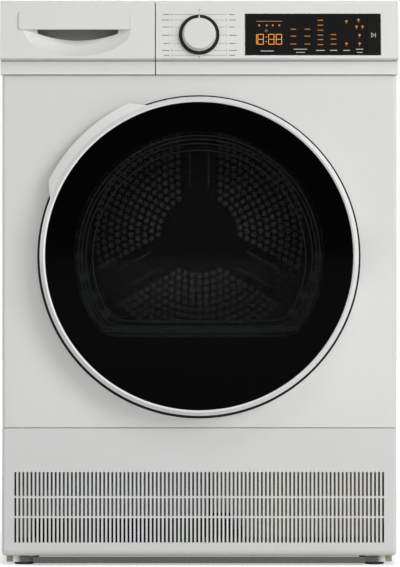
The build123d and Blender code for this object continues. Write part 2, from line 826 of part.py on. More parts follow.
knob_taper = math.degrees(math.atan((knob_base_radius - knob_face_radius) / knob_height))
with BuildPart() as program_knob:
    with BuildSketch(face_plane(knob_foot)):
        with Locations((0, knob_v)):
            Circle(knob_base_radius)
    extrude(amount=knob_height, taper=knob_taper)
    fillet(program_knob.edges().filter_by(GeomType.CIRCLE).sort_by(Axis.Y)[0], knob_edge_radius)
    with BuildSketch(face_plane(knob_foot)):
        with Locations((0, knob_v)):
            Circle(knob_shaft_radius)
    extrude(amount=-(knob_foot + knob_shaft_depth))
program_knob.part.label = "program_knob"
export_step(program_knob.part, "parts/program_knob.step")

# Water tank drawer: its front carries a finger scoop under a handle plate
dish_rise = dish_middle_v - dish_low_v
dish_radius = (dish_rise**2 + dish_depth**2) / (2 * dish_depth)
dish_half_length = dish_half_width * dish_radius / dish_rise
dish_centre = face_plane(dish_radius - dish_depth).from_local_coords((scoop_centre_x, dish_middle_v, 0))
drawer_left = -half_fascia


def dish_space(out, label):
    """The long round dish below the handle plate, grown by a wall."""
    with BuildPart() as space:
        with BuildSketch(Plane(origin=dish_centre, x_dir=(1, 0, 0), z_dir=(0, 0, 1))):
            Ellipse(dish_half_length + out, dish_radius + out)
            with Locations((0, dish_radius + out)):
                Rectangle(4 * dish_half_length, 2 * dish_radius + 2 * out, mode=Mode.SUBTRACT)
        revolve(axis=Axis(dish_centre, (1, 0, 0)))
        with BuildSketch(face_plane(seam if out == 0 else -seam)):
            face_box(drawer_left + wall, drawer_split_x - wall, -dish_radius, pocket_roof_v + out)
        extrude(amount=-2 * pocket_depth, mode=Mode.INTERSECT)
    space.part.label = label
    return space.part


def pocket_outline(out):
    """The finger pocket behind the plate: an arc below, upright sides and a flat roof, grown by a wall."""
    with BuildSketch() as outline:
        with BuildLine():
            ThreePointArc((scoop_centre_x - pocket_half_width - out, pocket_side_v - out),
                          (scoop_centre_x, pocket_low_v - out),
                          (scoop_centre_x + pocket_half_width + out, pocket_side_v - out))
            Polyline((scoop_centre_x + pocket_half_width + out, pocket_side_v - out),
                     (scoop_centre_x + pocket_half_width + out, pocket_roof_v + out),
                     (scoop_centre_x - pocket_half_width - out, pocket_roof_v + out),
                     (scoop_centre_x - pocket_half_width - out, pocket_side_v - out))
        make_face()
    return outline.sketch_local


dish_outer = dish_space(scoop_wall, "dish wall")
dish_inner = dish_space(0, "dish hollow")
with BuildPart() as drawer_front:
    with BuildSketch(Plane.YZ.offset(drawer_left)):
        add(fascia_outline(0))
    extrude(amount=drawer_split_x - drawer_left)
    with BuildSketch(Plane.YZ.offset(drawer_left + wall)):
        add(fascia_outline(wall))
    extrude(amount=drawer_split_x - drawer_left - 2 * wall, mode=Mode.SUBTRACT)
    block(drawer_left + wall, drawer_split_x - wall, fascia_rear_y - wall - seam, fascia_rear_y + seam,
          fascia_bottom + wall, drawer_back_low, Mode.SUBTRACT)
    add(dish_outer)
    with BuildSketch(face_plane(-seam)):
        add(pocket_outline(scoop_wall))
    extrude(amount=-(pocket_depth + scoop_wall - seam))
    add(dish_inner, mode=Mode.SUBTRACT)
    with BuildSketch(face_plane(seam)):
        add(pocket_outline(0))
    extrude(amount=-(pocket_depth + seam), mode=Mode.SUBTRACT)
    with BuildSketch(face_plane(seam)):
        face_box(plate_left - clearance, plate_right + clearance, plate_low, plate_high + clearance)
    extrude(amount=-(seam + plate_thickness - plate_proud), mode=Mode.SUBTRACT)
drawer_front.part.label = "drawer_front"
export_step(drawer_front.part, "parts/drawer_front.step")

with BuildPart() as drawer_handle_plate:
    with BuildSketch(face_plane(plate_proud)):
        with Locations(((plate_left + plate_right) / 2, (plate_low + plate_high) / 2)):
            RectangleRounded(plate_right - plate_left, plate_high - plate_low, plate_corner_radius)
    extrude(amount=-plate_thickness)
drawer_handle_plate.part.label = "drawer_handle_plate"
export_step(drawer_handle_plate.part, "parts/drawer_handle_plate.step")

with BuildPart() as water_tank:
    block(tank_left, tank_right, fascia_rear_y, tank_rear_y, tank_bottom, tank_top)
    block(tank_left + tank_wall, tank_right - tank_wall, fascia_rear_y + tank_wall, tank_rear_y - tank_wall,
          tank_bottom + tank_wall, tank_top - tank_wall, Mode.SUBTRACT)
    filler_x = (tank_left + tank_right) / 2
    filler_y = tank_rear_y - tank_filler_side
    block(filler_x - tank_filler_side / 2, filler_x + tank_filler_side / 2, filler_y - tank_filler_side / 2,
          filler_y + tank_filler_side / 2, tank_top - tank_wall - seam, tank_top + seam, Mode.SUBTRACT)
    for runner_x in (tank_left + tank_runner_inset, tank_right - tank_runner_inset):
        block(runner_x - tank_runner_width / 2, runner_x + tank_runner_width / 2, fascia_rear_y, tank_rear_y,
              tank_bottom - tank_runner_height, tank_bottom)
water_tank.part.label = "water_tank"
export_step(water_tank.part, "parts/water_tank.step")

tray_left = tank_left - tray_gap - tray_wall
tray_right = tank_right + tray_gap + tray_wall
nozzle_z = (tray_floor_top + tray_wall_top) / 2
with BuildPart() as drawer_tray:
    block(tray_left, tray_right, fascia_rear_y + tray_front_gap, tray_rear_y,
          tray_floor_bottom, tray_wall_top)
    block(tray_left + tray_wall, tray_right - tray_wall, fascia_rear_y + tray_front_gap - seam,
          tray_rear_y - tray_wall, tray_floor_top, tray_wall_top + seam, Mode.SUBTRACT)
    rod(hose_outlet_x, nozzle_z, tray_rear_y - tray_wall - seam, tray_rear_y + seam, hose_radius - tray_wall,
        Mode.SUBTRACT)
drawer_tray.part.label = "drawer_tray"
export_step(drawer_tray.part, "parts/drawer_tray.step")

# Door: a ring with a pull, a dark outer glass, an inner frame and a clear bowl
lip_radius = ring_radius - ring_lip
ledge_front_y = door_front_y + door_glass_setback + door_glass_thickness
ledge_rear_y = ledge_front_y + ring_ledge_thickness
notch_front_y = ledge_front_y
frame_front_y = ring_rear_y - frame_plate


def polar(radius, angle):
    """A point on a door circle, in the front plane."""
    return (radius * math.cos(math.radians(angle)), door_z + radius * math.sin(math.radians(angle)))


def door_d(radius, flat):
    """The bowl's outline: a circle with a flat at the bottom and rounded corners."""
    with BuildSketch() as outline:
        with Locations((0, door_z)):
            Circle(radius)
        with Locations((0, door_z - flat - radius)):
            Rectangle(2 * radius, 2 * radius, mode=Mode.SUBTRACT)
        fillet(outline.vertices(), bowl_corner_radius)
    return outline.sketch_local


pull_edge_y = front_sheet_y - pull_sheet_gap
pull_root_y = door_front_y + ring_outer_drop
with BuildPart() as pull_flare:
    with BuildSketch(Plane.XY.offset(door_z)):
        with BuildLine():
            Polyline((ring_radius - ring_wall / 2, pull_root_y), (ring_radius, pull_root_y),
                     (pull_radius, pull_edge_y - pull_thickness), (pull_radius, pull_edge_y),
                     (pull_radius - pull_thickness / 2, pull_edge_y),
                     (ring_radius - ring_wall / 2, pull_root_y + 2 * pull_thickness), close=True)
        make_face()
    revolve(axis=Axis((0, 0, door_z), (0, 1, 0)))
    with BuildSketch(front_plane(door_front_y)):
        with BuildLine():
            ThreePointArc(polar(pull_radius + seam, pull_angle - pull_half_angle + pull_end_angle),
                          polar(pull_radius + seam, pull_angle),
                          polar(pull_radius + seam, pull_angle + pull_half_angle - pull_end_angle))
            Polyline(polar(pull_radius + seam, pull_angle + pull_half_angle - pull_end_angle),
                     polar(ring_radius, pull_angle + pull_half_angle), (0, door_z),
                     polar(ring_radius, pull_angle - pull_half_angle),
                     polar(pull_radius + seam, pull_angle - pull_half_angle + pull_end_angle))
        make_face()
    extrude(amount=-depth, mode=Mode.INTERSECT)
pull_flare.part.label = "pull flare"

with BuildPart() as door_ring:
    with BuildSketch(Plane.XY.offset(door_z)):
        with BuildLine():
            Polyline((lip_radius, ledge_front_y), (lip_radius, door_front_y + ring_inner_drop),
                     (lip_radius + ring_inner_bevel, door_front_y),
                     (ring_radius, door_front_y + ring_outer_drop), (ring_radius, ring_rear_y),
                     (ring_radius - ring_wall, ring_rear_y), (ring_radius - ring_wall, ledge_rear_y),
                     (ring_radius - ring_wall - ring_ledge, ledge_rear_y),
                     (ring_radius - ring_wall - ring_ledge, ledge_front_y), close=True)
        make_face()
    revolve(axis=Axis((0, 0, door_z), (0, 1, 0)))
    add(pull_flare.part)
    block(hinge_x - hinge_notch_reach, ring_radius + seam, notch_front_y, ring_rear_y + seam,
          door_z - hinge_notch_half_height, door_z + hinge_notch_half_height, Mode.SUBTRACT)
door_ring.part.label = "door_ring"
export_step(door_ring.part, "parts/door_ring.step")

with BuildPart() as door_glass:
    rod(0, door_z, door_front_y + door_glass_setback, ledge_front_y, lip_radius - glass_rim_gap)
    fillet(door_glass.edges().sort_by(Axis.Y)[0], seam)
door_glass.part.label = "door_glass"
export_step(door_glass.part, "parts/door_glass.step")

leaf_rear_y = ledge_rear_y + leaf_thickness
frame_outer_radius = ring_radius - ring_wall - 2 * clearance
with BuildPart() as door_frame:
    rod(0, door_z, frame_front_y, ring_rear_y, frame_outer_radius)
    rod(0, door_z, leaf_rear_y, frame_front_y, frame_rib_radius)
    rod(0, door_z, leaf_rear_y - seam, frame_front_y, frame_rib_radius - frame_rib, Mode.SUBTRACT)
    rod(0, door_z, frame_front_y - seam, ring_rear_y + seam, frame_inner_radius, Mode.SUBTRACT)
    block(hinge_x - hinge_notch_reach, ring_radius + seam, frame_front_y - seam, ring_rear_y + seam,
          door_z - hinge_notch_half_height, door_z + hinge_notch_half_height, Mode.SUBTRACT)
door_frame.part.label = "door_frame"
export_step(door_frame.part, "parts/door_frame.step")

bowl_front_y = frame_front_y - bowl_flange
with BuildPart() as door_bowl:
    with BuildSketch(front_plane(bowl_front_y)):
        add(door_d(bowl_radius, bowl_flat))
    with BuildSketch(front_plane(bowl_rear_y)):
        add(door_d(bowl_rear_radius, bowl_rear_flat))
    loft()
    with BuildSketch(front_plane(bowl_front_y)):
        with Locations((0, door_z)):
            Circle(bowl_flange_radius)
    extrude(amount=-bowl_flange)
    with BuildSketch(front_plane(bowl_front_y)):
        add(door_d(bowl_radius - bowl_wall, bowl_flat - bowl_wall))
    with BuildSketch(front_plane(bowl_rear_y - bowl_wall)):
        add(door_d(bowl_rear_radius - bowl_wall, bowl_rear_flat - bowl_wall))
    loft(mode=Mode.SUBTRACT)
door_bowl.part.label = "door_bowl"
export_step(door_bowl.part, "parts/door_bowl.step")

with BuildPart() as door_hinge_leaf:
    post(hinge_x, hinge_y, door_z - hinge_knuckle_half, door_z + hinge_knuckle_half, hinge_knuckle_radius)
    leaf_inner = hinge_x - leaf_reach
    block(leaf_inner, hinge_x, ledge_rear_y, leaf_rear_y, door_z - hinge_knuckle_half,
          door_z + hinge_knuckle_half)
    block(leaf_inner, hinge_x - hinge_notch_reach - clearance, ledge_rear_y, leaf_rear_y,
          door_z - leaf_half_height, door_z + leaf_half_height)
    post(hinge_x, hinge_y, door_z - hinge_half_height, door_z + hinge_half_height,
         hinge_pin_radius + running_fit, Mode.SUBTRACT)
door_hinge_leaf.part.label = "door_hinge_leaf"
export_step(door_hinge_leaf.part, "parts/door_hinge_leaf.step")

sheet_rear_y = front_sheet_y + sheet
with BuildPart() as door_hinge_bracket:
    block(hinge_x - hinge_plate_left, hinge_x - hinge_plate_left + hinge_plate_width, sheet_rear_y,
          sheet_rear_y + hinge_plate, door_z - hinge_plate_half_height, door_z + hinge_plate_half_height)
    for ear_side in (-1, 1):
        ear_low, ear_high = sorted((door_z + ear_side * (hinge_knuckle_half + clearance),
                                    door_z + ear_side * hinge_half_height))
        block(hinge_x - hinge_ear_width / 2, hinge_x + hinge_ear_width / 2, hinge_y, sheet_rear_y,
              ear_low, ear_high)
        post(hinge_x, hinge_y, ear_low, ear_high, hinge_knuckle_radius)
    post(hinge_x, hinge_y, door_z - hinge_half_height - seam, door_z + hinge_half_height + seam,
         hinge_pin_radius, Mode.SUBTRACT)
door_hinge_bracket.part.label = "door_hinge_bracket"
export_step(door_hinge_bracket.part, "parts/door_hinge_bracket.step")

with BuildPart() as door_hinge_pin:
    post(hinge_x, hinge_y, door_z - hinge_half_height, door_z + hinge_half_height, hinge_pin_radius)
door_hinge_pin.part.label = "door_hinge_pin"
export_step(door_hinge_pin.part, "parts/door_hinge_pin.step")

with BuildPart() as door_hook:
    block(hook_x - hook_width / 2, hook_x + hook_width / 2, ring_rear_y, sheet_rear_y + hook_reach,
          door_z - hook_height / 2, door_z + hook_height / 2)
    block(hook_x - hook_width, hook_x + hook_width, ring_rear_y, ring_rear_y + hook_base,
          door_z - hook_height / 2, door_z + hook_height / 2)
    post(hook_x + hook_width / 2, sheet_rear_y + hook_reach / 2, door_z - hook_height, door_z + hook_height,
         hook_width / 4, Mode.SUBTRACT)
    chamfer(door_hook.edges().filter_by(Axis.Z).group_by(Axis.Y)[-1], hook_width / 4)
door_hook.part.label = "door_hook"
export_step(door_hook.part, "parts/door_hook.step")

catch_half = hook_height / 2 + hook_slot_margin + catch_wall
with BuildPart() as door_catch:
    block(hook_x - hook_slot - catch_wall, hook_x + hook_slot + catch_wall, sheet_rear_y,
          sheet_rear_y + catch_depth, door_z - catch_half, door_z + catch_half)
    block(hook_x - hook_slot, hook_x + hook_slot, sheet_rear_y - seam,
          sheet_rear_y + catch_depth - catch_wall, door_z - catch_half + catch_wall,
          door_z + catch_half - catch_wall, Mode.SUBTRACT)
door_catch.part.label = "door_catch"
export_step(door_catch.part, "parts/door_catch.step")

with BuildPart() as door_seal:
    rod(0, door_z, front_sheet_y - seal_lip, sheet_rear_y + seal_lip, seal_outer_radius)
    rod(0, door_z, front_sheet_y, sheet_rear_y, seal_outer_radius + seam, Mode.SUBTRACT)
    rod(0, door_z, front_sheet_y, sheet_rear_y, door_opening_radius)
    rod(0, door_z, front_sheet_y - seal_lip - seam, sheet_rear_y + seal_lip + seam, seal_inner_radius,
        Mode.SUBTRACT)
door_seal.part.label = "door_seal"
export_step(door_seal.part, "parts/door_seal.step")

# Drum, with the bulkhead, felt, rollers and bearing that carry it
drum_inside = drum_radius - drum_wall
neck_inside = neck_radius - drum_wall
with BuildPart() as drum_shell:
    rod(0, drum_z, drum_front_y, drum_rear_y, drum_radius)
    rod(0, drum_z, drum_front_y - neck_length, drum_front_y, neck_radius)
    rod(0, drum_z, drum_front_y + drum_wall, drum_rear_y + seam, drum_inside, Mode.SUBTRACT)
    rod(0, drum_z, drum_front_y - neck_length - seam, drum_front_y + 2 * drum_wall, neck_inside,
        Mode.SUBTRACT)
drum_shell.part.label = "drum_shell"
export_step(drum_shell.part, "parts/drum_shell.step")

back_rear_y = drum_rear_y + drum_back_thickness
with BuildPart() as drum_back:
    rod(0, drum_z, drum_rear_y, back_rear_y, drum_radius)
    with BuildSketch(front_plane(drum_rear_y - seam)):
        for hole_ring, hole_count in back_hole_rings:
            with Locations((0, drum_z)):
                with PolarLocations(hole_ring, hole_count):
                    Circle(back_hole_radius)
    extrude(amount=-(drum_back_thickness + 2 * seam), mode=Mode.SUBTRACT)
    rod(0, drum_z, back_rear_y, back_rear_y + hub_thickness, hub_radius)
    rod(0, drum_z, back_rear_y, cabinet_rear_y, stub_radius)
drum_back.part.label = "drum_back"
export_step(drum_back.part, "parts/drum_back.step")

lifter_crest_radius = drum_radius - lifter_height
with BuildPart() as drum_lifters:
    with BuildSketch(front_plane(lifter_front_y)):
        with Locations((0, drum_z)):
            with PolarLocations(0, lifter_count, lifter_first_angle):
                Polygon((lifter_crest_radius, -lifter_crest / 2), (drum_radius, -lifter_base / 2),
                        (drum_radius, lifter_base / 2), (lifter_crest_radius, lifter_crest / 2), align=None)
                Polygon((lifter_crest_radius + lifter_wall, -lifter_crest / 2 + lifter_wall),
                        (drum_radius, -lifter_base / 2 + 2 * lifter_wall),
                        (drum_radius, lifter_base / 2 - 2 * lifter_wall),
                        (lifter_crest_radius + lifter_wall, lifter_crest / 2 - lifter_wall), align=None,
                        mode=Mode.SUBTRACT)
    extrude(amount=-(drum_rear_y - lifter_rear_gap - lifter_front_y))
    rod(0, drum_z, lifter_front_y - seam, drum_rear_y, drum_inside - running_fit, Mode.INTERSECT)
drum_lifters.part.label = "drum_lifters"
export_step(drum_lifters.part, "parts/drum_lifters.step")

bearing_front_y = cabinet_rear_y - bearing_length
with BuildPart() as rear_bearing:
    rod(0, drum_z, bearing_front_y, cabinet_rear_y, bearing_radius)
    rod(0, drum_z, cabinet_rear_y - bearing_flange, cabinet_rear_y, bearing_flange_radius)
    rod(0, drum_z, bearing_front_y - seam, cabinet_rear_y + seam, stub_radius + running_fit, Mode.SUBTRACT)
rear_bearing.part.label = "rear_bearing"
export_step(rear_bearing.part, "parts/rear_bearing.step")

bulkhead_rear_y = bulkhead_y + bulkhead
roller_orbit = neck_radius + roller_radius + clearance
roller_x = roller_orbit * math.sin(math.radians(roller_angle))
roller_z = drum_z - roller_orbit * math.cos(math.radians(roller_angle))
roller_front_y = drum_front_y - neck_length + roller_head
roller_rear_y = roller_front_y + roller_width
with BuildPart() as front_bulkhead:
    block(-bulkhead_half_width, bulkhead_half_width, bulkhead_y, bulkhead_rear_y,
          bulkhead_bottom, bulkhead_top)
    rod(0, drum_z, bulkhead_rear_y, drum_ring_rear_y, drum_ring_radius)
    rod(0, drum_z, bulkhead_rear_y, drum_ring_rear_y + seam, drum_ring_radius - drum_ring_wall,
        Mode.SUBTRACT)
    rod(0, door_z, throat_front_y, bulkhead_y, throat_radius)
    rod(0, door_z, throat_front_y - seam, bulkhead_rear_y + seam, throat_radius - throat_wall, Mode.SUBTRACT)
    for roller_side in (-1, 1):
        rod(roller_side * roller_x, roller_z, bulkhead_rear_y, roller_rear_y + clearance, roller_bore)
        rod(roller_side * roller_x, roller_z, bulkhead_rear_y, roller_front_y - clearance,
            roller_head_radius)
        rod(roller_side * roller_x, roller_z, roller_rear_y + clearance,
            roller_rear_y + clearance + roller_head, roller_head_radius)
front_bulkhead.part.label = "front_bulkhead"
export_step(front_bulkhead.part, "parts/front_bulkhead.step")

with BuildPart() as drum_felt:
    felt_front_y = drum_ring_rear_y - felt_width
    rod(0, drum_z, felt_front_y, drum_ring_rear_y, drum_ring_radius + felt_thickness)
    rod(0, drum_z, felt_front_y - seam, drum_ring_rear_y + seam, drum_ring_radius, Mode.SUBTRACT)
drum_felt.part.label = "drum_felt"
export_step(drum_felt.part, "parts/drum_felt.step")

for roller_side, hand in ((-1, "left"), (1, "right")):
    with BuildPart() as drum_roller:
        rod(roller_side * roller_x, roller_z, roller_front_y, roller_rear_y, roller_radius)
        fillet(drum_roller.edges(), seam)
        rod(roller_side * roller_x, roller_z, roller_front_y - seam, roller_rear_y + seam,
            roller_bore + running_fit, Mode.SUBTRACT)
    drum_roller.part.label = f"drum_roller_{hand}"
    export_step(drum_roller.part, f"parts/drum_roller_{hand}.step")

filter_seat_radius = throat_radius - throat_wall - clearance
with BuildPart() as lint_filter:
    rod(0, door_z, filter_front_y, bulkhead_y, filter_seat_radius)
    block(-throat_radius, throat_radius, filter_front_y - seam, bulkhead_y + seam, filter_floor,
          door_z + throat_radius, Mode.SUBTRACT)
    with BuildSketch(Plane.YZ.offset(-filter_half_width)):
        with BuildLine():
            Polyline((filter_front_y, filter_floor), (filter_front_y, filter_top_front),
                     (filter_rear_y, filter_top_rear), (filter_rear_y, filter_floor), close=True)
        make_face()
    extrude(amount=2 * filter_half_width)
    with BuildSketch(Plane.YZ.offset(-filter_half_width + filter_wall)):
        with BuildLine():
            Polyline((bulkhead_rear_y, filter_floor - seam), (bulkhead_rear_y, filter_top_front),
                     (filter_rear_y - filter_wall, filter_top_rear - 2 * filter_wall),
                     (filter_rear_y - filter_wall, filter_floor - seam), close=True)
        make_face()
    extrude(amount=2 * (filter_half_width - filter_wall), mode=Mode.SUBTRACT)
lint_filter.part.label = "lint_filter"
export_step(lint_filter.part, "parts/lint_filter.step")

# Drive: motor, belt and idler
with BuildPart() as motor:
    rod(motor_x, motor_z, motor_front_y, motor_rear_y, motor_radius)
    fillet(motor.edges().filter_by(GeomType.CIRCLE), motor_collar)
    rod(motor_x, motor_z, motor_front_y - motor_collar, motor_rear_y + motor_collar, motor_collar_radius)
    rod(motor_x, motor_z, motor_front_y - 2 * motor_collar, motor_rear_y + 2 * motor_collar,
        motor_shaft_radius + running_fit, Mode.SUBTRACT)
motor.part.label = "motor"
export_step(motor.part, "parts/motor.step")

with BuildPart() as motor_bracket:
    block(motor_x - bracket_width / 2, motor_x + bracket_width / 2, motor_front_y + bracket_inset,
          motor_rear_y - bracket_inset, pan_floor_top, pan_floor_top + bracket_plate)
    for cradle_y in (motor_front_y + bracket_inset, motor_rear_y - bracket_inset - bracket_plate):
        block(motor_x - bracket_width / 2, motor_x + bracket_width / 2, cradle_y, cradle_y + bracket_plate,
              pan_floor_top, motor_z - bracket_plate)
    rod(motor_x, motor_z, motor_front_y, motor_rear_y, motor_radius + running_fit, Mode.SUBTRACT)
motor_bracket.part.label = "motor_bracket"
export_step(motor_bracket.part, "parts/motor_bracket.step")

pulley_rear_y = pulley_front_y + pulley_width
process_fan_rear_y = process_fan_front_y + process_fan_width
belt_front_y = pulley_front_y + (pulley_width - belt_width) / 2
with BuildPart() as motor_shaft:
    rod(motor_x, motor_z, cooling_fan_front_y, process_fan_rear_y, motor_shaft_radius)
    rod(motor_x, motor_z, pulley_front_y, pulley_rear_y, pulley_radius)
    for rim_y in (pulley_front_y, pulley_rear_y - pulley_rim):
        rod(motor_x, motor_z, rim_y, rim_y + pulley_rim, pulley_radius + belt_thickness + pulley_rim)
motor_shaft.part.label = "motor_shaft"
export_step(motor_shaft.part, "parts/motor_shaft.step")


def belt_loop(out):
    """The belt's loop round the drum and the motor pulley, a distance out from them."""
    with BuildSketch() as loop:
        with Locations((0, drum_z)):
            Circle(drum_radius + out)
        with Locations((motor_x, motor_z)):
            Circle(pulley_radius + out)
        make_hull()
    return loop.sketch_local


with BuildPart() as drive_belt:
    with BuildSketch(front_plane(belt_front_y)):
        add(belt_loop(clearance + belt_thickness))
        add(belt_loop(clearance), mode=Mode.SUBTRACT)
    extrude(amount=-belt_width)
drive_belt.part.label = "drive_belt"
export_step(drive_belt.part, "parts/drive_belt.step")

# The idler bears on the outside of the belt's lower run, which leaves both circles along one normal
drive_span = math.hypot(motor_x, drum_z - motor_z)
belt_normal = math.atan2(motor_z - drum_z, motor_x) - math.acos((drum_radius - pulley_radius) / drive_span)
run_start = Vector(motor_x, motor_z) + Vector(math.cos(belt_normal), math.sin(belt_normal)) * pulley_radius
run_end = Vector(0, drum_z) + Vector(math.cos(belt_normal), math.sin(belt_normal)) * drum_radius
run_direction = (run_end - run_start).normalized()
idler_out = 2 * clearance + belt_thickness + idler_radius
idler_centre = (run_start + run_direction * idler_distance
                + Vector(math.cos(belt_normal), math.sin(belt_normal)) * idler_out)
idler_arm_rear_y = pulley_front_y - clearance
with BuildPart() as idler_pulley:
    rod(idler_centre.X, idler_centre.Y, pulley_front_y, pulley_rear_y, idler_radius)
    rod(idler_centre.X, idler_centre.Y, pulley_front_y - seam, pulley_rear_y + seam,
        idler_bore + running_fit, Mode.SUBTRACT)
idler_pulley.part.label = "idler_pulley"
export_step(idler_pulley.part, "parts/idler_pulley.step")

with BuildPart() as idler_arm:
    block(idler_centre.X - idler_arm_width / 2, idler_centre.X + idler_arm_width / 2,
          idler_arm_rear_y - idler_arm_thickness, idler_arm_rear_y, pan_floor_top, idler_centre.Y)
    rod(idler_centre.X, idler_centre.Y, idler_arm_rear_y - idler_arm_thickness, idler_arm_rear_y,
        idler_arm_width / 2)
    rod(idler_centre.X, idler_centre.Y, idler_arm_rear_y, pulley_rear_y + clearance, idler_bore)
    rod(idler_centre.X, idler_centre.Y, pulley_rear_y + clearance, pulley_rear_y + clearance + roller_head,
        roller_head_radius)
idler_arm.part.label = "idler_arm"
export_step(idler_arm.part, "parts/idler_arm.step")

# Fans and air path
with BuildPart() as process_fan:
    rod(motor_x, motor_z, process_fan_front_y, process_fan_rear_y, fan_hub_radius)
    rod(motor_x, motor_z, process_fan_rear_y - fan_disc, process_fan_rear_y, process_fan_radius)
    with BuildSketch(front_plane(process_fan_front_y)):
        with Locations((motor_x, motor_z)):
            with PolarLocations(process_fan_radius - process_blade_chord / 2, process_blades):
                Rectangle(process_blade_chord, fan_blade)
    extrude(amount=-(process_fan_width - fan_disc))
    rod(motor_x, motor_z, process_fan_front_y - seam, process_fan_rear_y + seam,
        motor_shaft_radius + running_fit, Mode.SUBTRACT)
process_fan.part.label = "process_fan"
export_step(process_fan.part, "parts/process_fan.step")

with BuildPart() as fan_housing:
    rod(motor_x, motor_z, fan_housing_front_y, cabinet_rear_y, fan_housing_radius)
    rod(motor_x, motor_z, fan_housing_front_y + fan_housing_wall, cabinet_rear_y + seam,
        fan_housing_radius - fan_housing_wall, Mode.SUBTRACT)
    rod(motor_x, motor_z, fan_housing_front_y - seam, cabinet_rear_y, fan_inlet_radius, Mode.SUBTRACT)
fan_housing.part.label = "fan_housing"
export_step(fan_housing.part, "parts/fan_housing.step")

cooling_fan_rear_y = cooling_fan_front_y + cooling_fan_width
cooling_blade_length = cooling_fan_radius - fan_hub_radius
with BuildPart() as cooling_fan:
    rod(motor_x, motor_z, cooling_fan_front_y, cooling_fan_rear_y, fan_hub_radius)
    with Locations(Plane(origin=(motor_x, (cooling_fan_front_y + cooling_fan_rear_y) / 2, motor_z),
                         x_dir=(1, 0, 0), z_dir=(0, -1, 0))):
        with PolarLocations(fan_hub_radius - fan_blade + cooling_blade_length / 2, cooling_blades):
            Box(cooling_blade_length, fan_blade, cooling_fan_width - fan_blade,
                rotation=(cooling_blade_pitch, 0, 0))
    rod(motor_x, motor_z, cooling_fan_front_y - seam, cooling_fan_rear_y + seam,
        motor_shaft_radius + running_fit, Mode.SUBTRACT)
cooling_fan.part.label = "cooling_fan"
export_step(cooling_fan.part, "parts/cooling_fan.step")

panel_rear_y = cabinet_rear_y + sheet
with BuildPart() as rear_panel:
    block(-half_cabinet + rear_panel_gap, half_cabinet - rear_panel_gap, cabinet_rear_y, panel_rear_y,
          rear_panel_bottom, worktop_bottom - rear_panel_gap)
    with BuildSketch(front_plane(cabinet_rear_y - seam)):
        with Locations((0, drum_z)):
            Circle(stub_radius + clearance)
            with PolarLocations(air_hole_ring, air_hole_count):
                Circle(air_hole_radius)
        with Locations((motor_x, motor_z)):
            Circle(fan_outlet_radius)
        with Locations((gland_x, gland_z)):
            Circle(gland_radius - gland_lip)
        for screw_z in screw_heights:
            with Locations((screw_x, screw_z), (-screw_x, screw_z)):
                Circle(screw_shank_radius + running_fit)
    extrude(amount=-(sheet + 2 * seam), mode=Mode.SUBTRACT)
rear_panel.part.label = "rear_panel"
export_step(rear_panel.part, "parts/rear_panel.step")


def duct_outline(out):
    """The hot air duct seen from behind: the fan's outlet swept up to the drum's back."""
    with BuildSketch() as outline:
        with Locations((0, drum_z)):
            Circle(duct_radius + out)
        with Locations((-motor_x, motor_z)):
            Circle(duct_foot_radius + out)
        make_hull()
    return outline.sketch_local


def behind_plane(y):
    """A plane facing the rear at y, with its sketch axes along -X and Z."""
    return Plane(origin=(0, y, 0), x_dir=(-1, 0, 0), z_dir=(0, 1, 0))


with BuildPart() as duct_cover:
    with BuildSketch(behind_plane(panel_rear_y)):
        add(duct_outline(0))
    with BuildSketch(behind_plane(duct_rear_y)):
        add(duct_outline(-duct_draft))
    loft(ruled=True)
    with BuildSketch(behind_plane(panel_rear_y)):
        add(duct_outline(duct_flange))
    extrude(amount=sheet)
    with BuildSketch(behind_plane(panel_rear_y)):
        add(duct_outline(-sheet))
    with BuildSketch(behind_plane(duct_rear_y - sheet)):
        add(duct_outline(-duct_draft - sheet))
    loft(ruled=True, mode=Mode.SUBTRACT)
duct_cover.part.label = "duct_cover"
export_step(duct_cover.part, "parts/duct_cover.step")

with BuildPart() as heater:
    with BuildSketch(behind_plane(panel_rear_y)):
        with Locations((0, drum_z)):
            Circle(heater_radius + heater_band / 2)
            Circle(heater_radius - heater_band / 2, mode=Mode.SUBTRACT)
        with Locations((0, drum_z + duct_radius - heater_drop)):
            Rectangle(2 * duct_radius, 2 * duct_radius, mode=Mode.SUBTRACT)
        with Locations((0, drum_z)):
            with PolarLocations(heater_radius, heater_cells):
                Rectangle(heater_band - 2 * heater_rim, heater_cell, mode=Mode.SUBTRACT)
    extrude(amount=heater_depth)
heater.part.label = "heater"
export_step(heater.part, "parts/heater.step")

exchanger_left = tunnel_left + pan_wall + exchanger_gap
exchanger_right = tunnel_right - pan_wall - exchanger_gap
exchanger_top = tunnel_top - pan_wall - exchanger_gap
cover_front_y = tunnel_front_y - exchanger_cover
lever_z = tunnel_top - lever_drop
lever_x = (exchanger_left + lever_inset, exchanger_right - lever_inset)
with BuildPart() as heat_exchanger:
    block(exchanger_left, exchanger_right, tunnel_front_y, tunnel_rear_y - pan_wall - exchanger_gap,
          pan_floor_top, exchanger_top)
    fin_count = int((exchanger_top - pan_floor_top - exchanger_rim) / exchanger_fin_pitch)
    for fin in range(fin_count):
        fin_z = pan_floor_top + exchanger_rim + fin * exchanger_fin_pitch
        block(exchanger_left - seam, exchanger_right + seam, tunnel_front_y + exchanger_rim,
              tunnel_rear_y - pan_wall - exchanger_gap - exchanger_rim, fin_z, fin_z + exchanger_fin_gap,
              Mode.SUBTRACT)
    block(tunnel_left - exchanger_cover_lip, tunnel_right + exchanger_cover_lip, cover_front_y,
          tunnel_front_y, pan_floor_top, tunnel_top + exchanger_cover_lip)
    for pivot_x in lever_x:
        rod(pivot_x, lever_z, cover_front_y - seam, tunnel_front_y, lever_pin_radius + running_fit,
            Mode.SUBTRACT)
heat_exchanger.part.label = "heat_exchanger"
export_step(heat_exchanger.part, "parts/heat_exchanger.step")

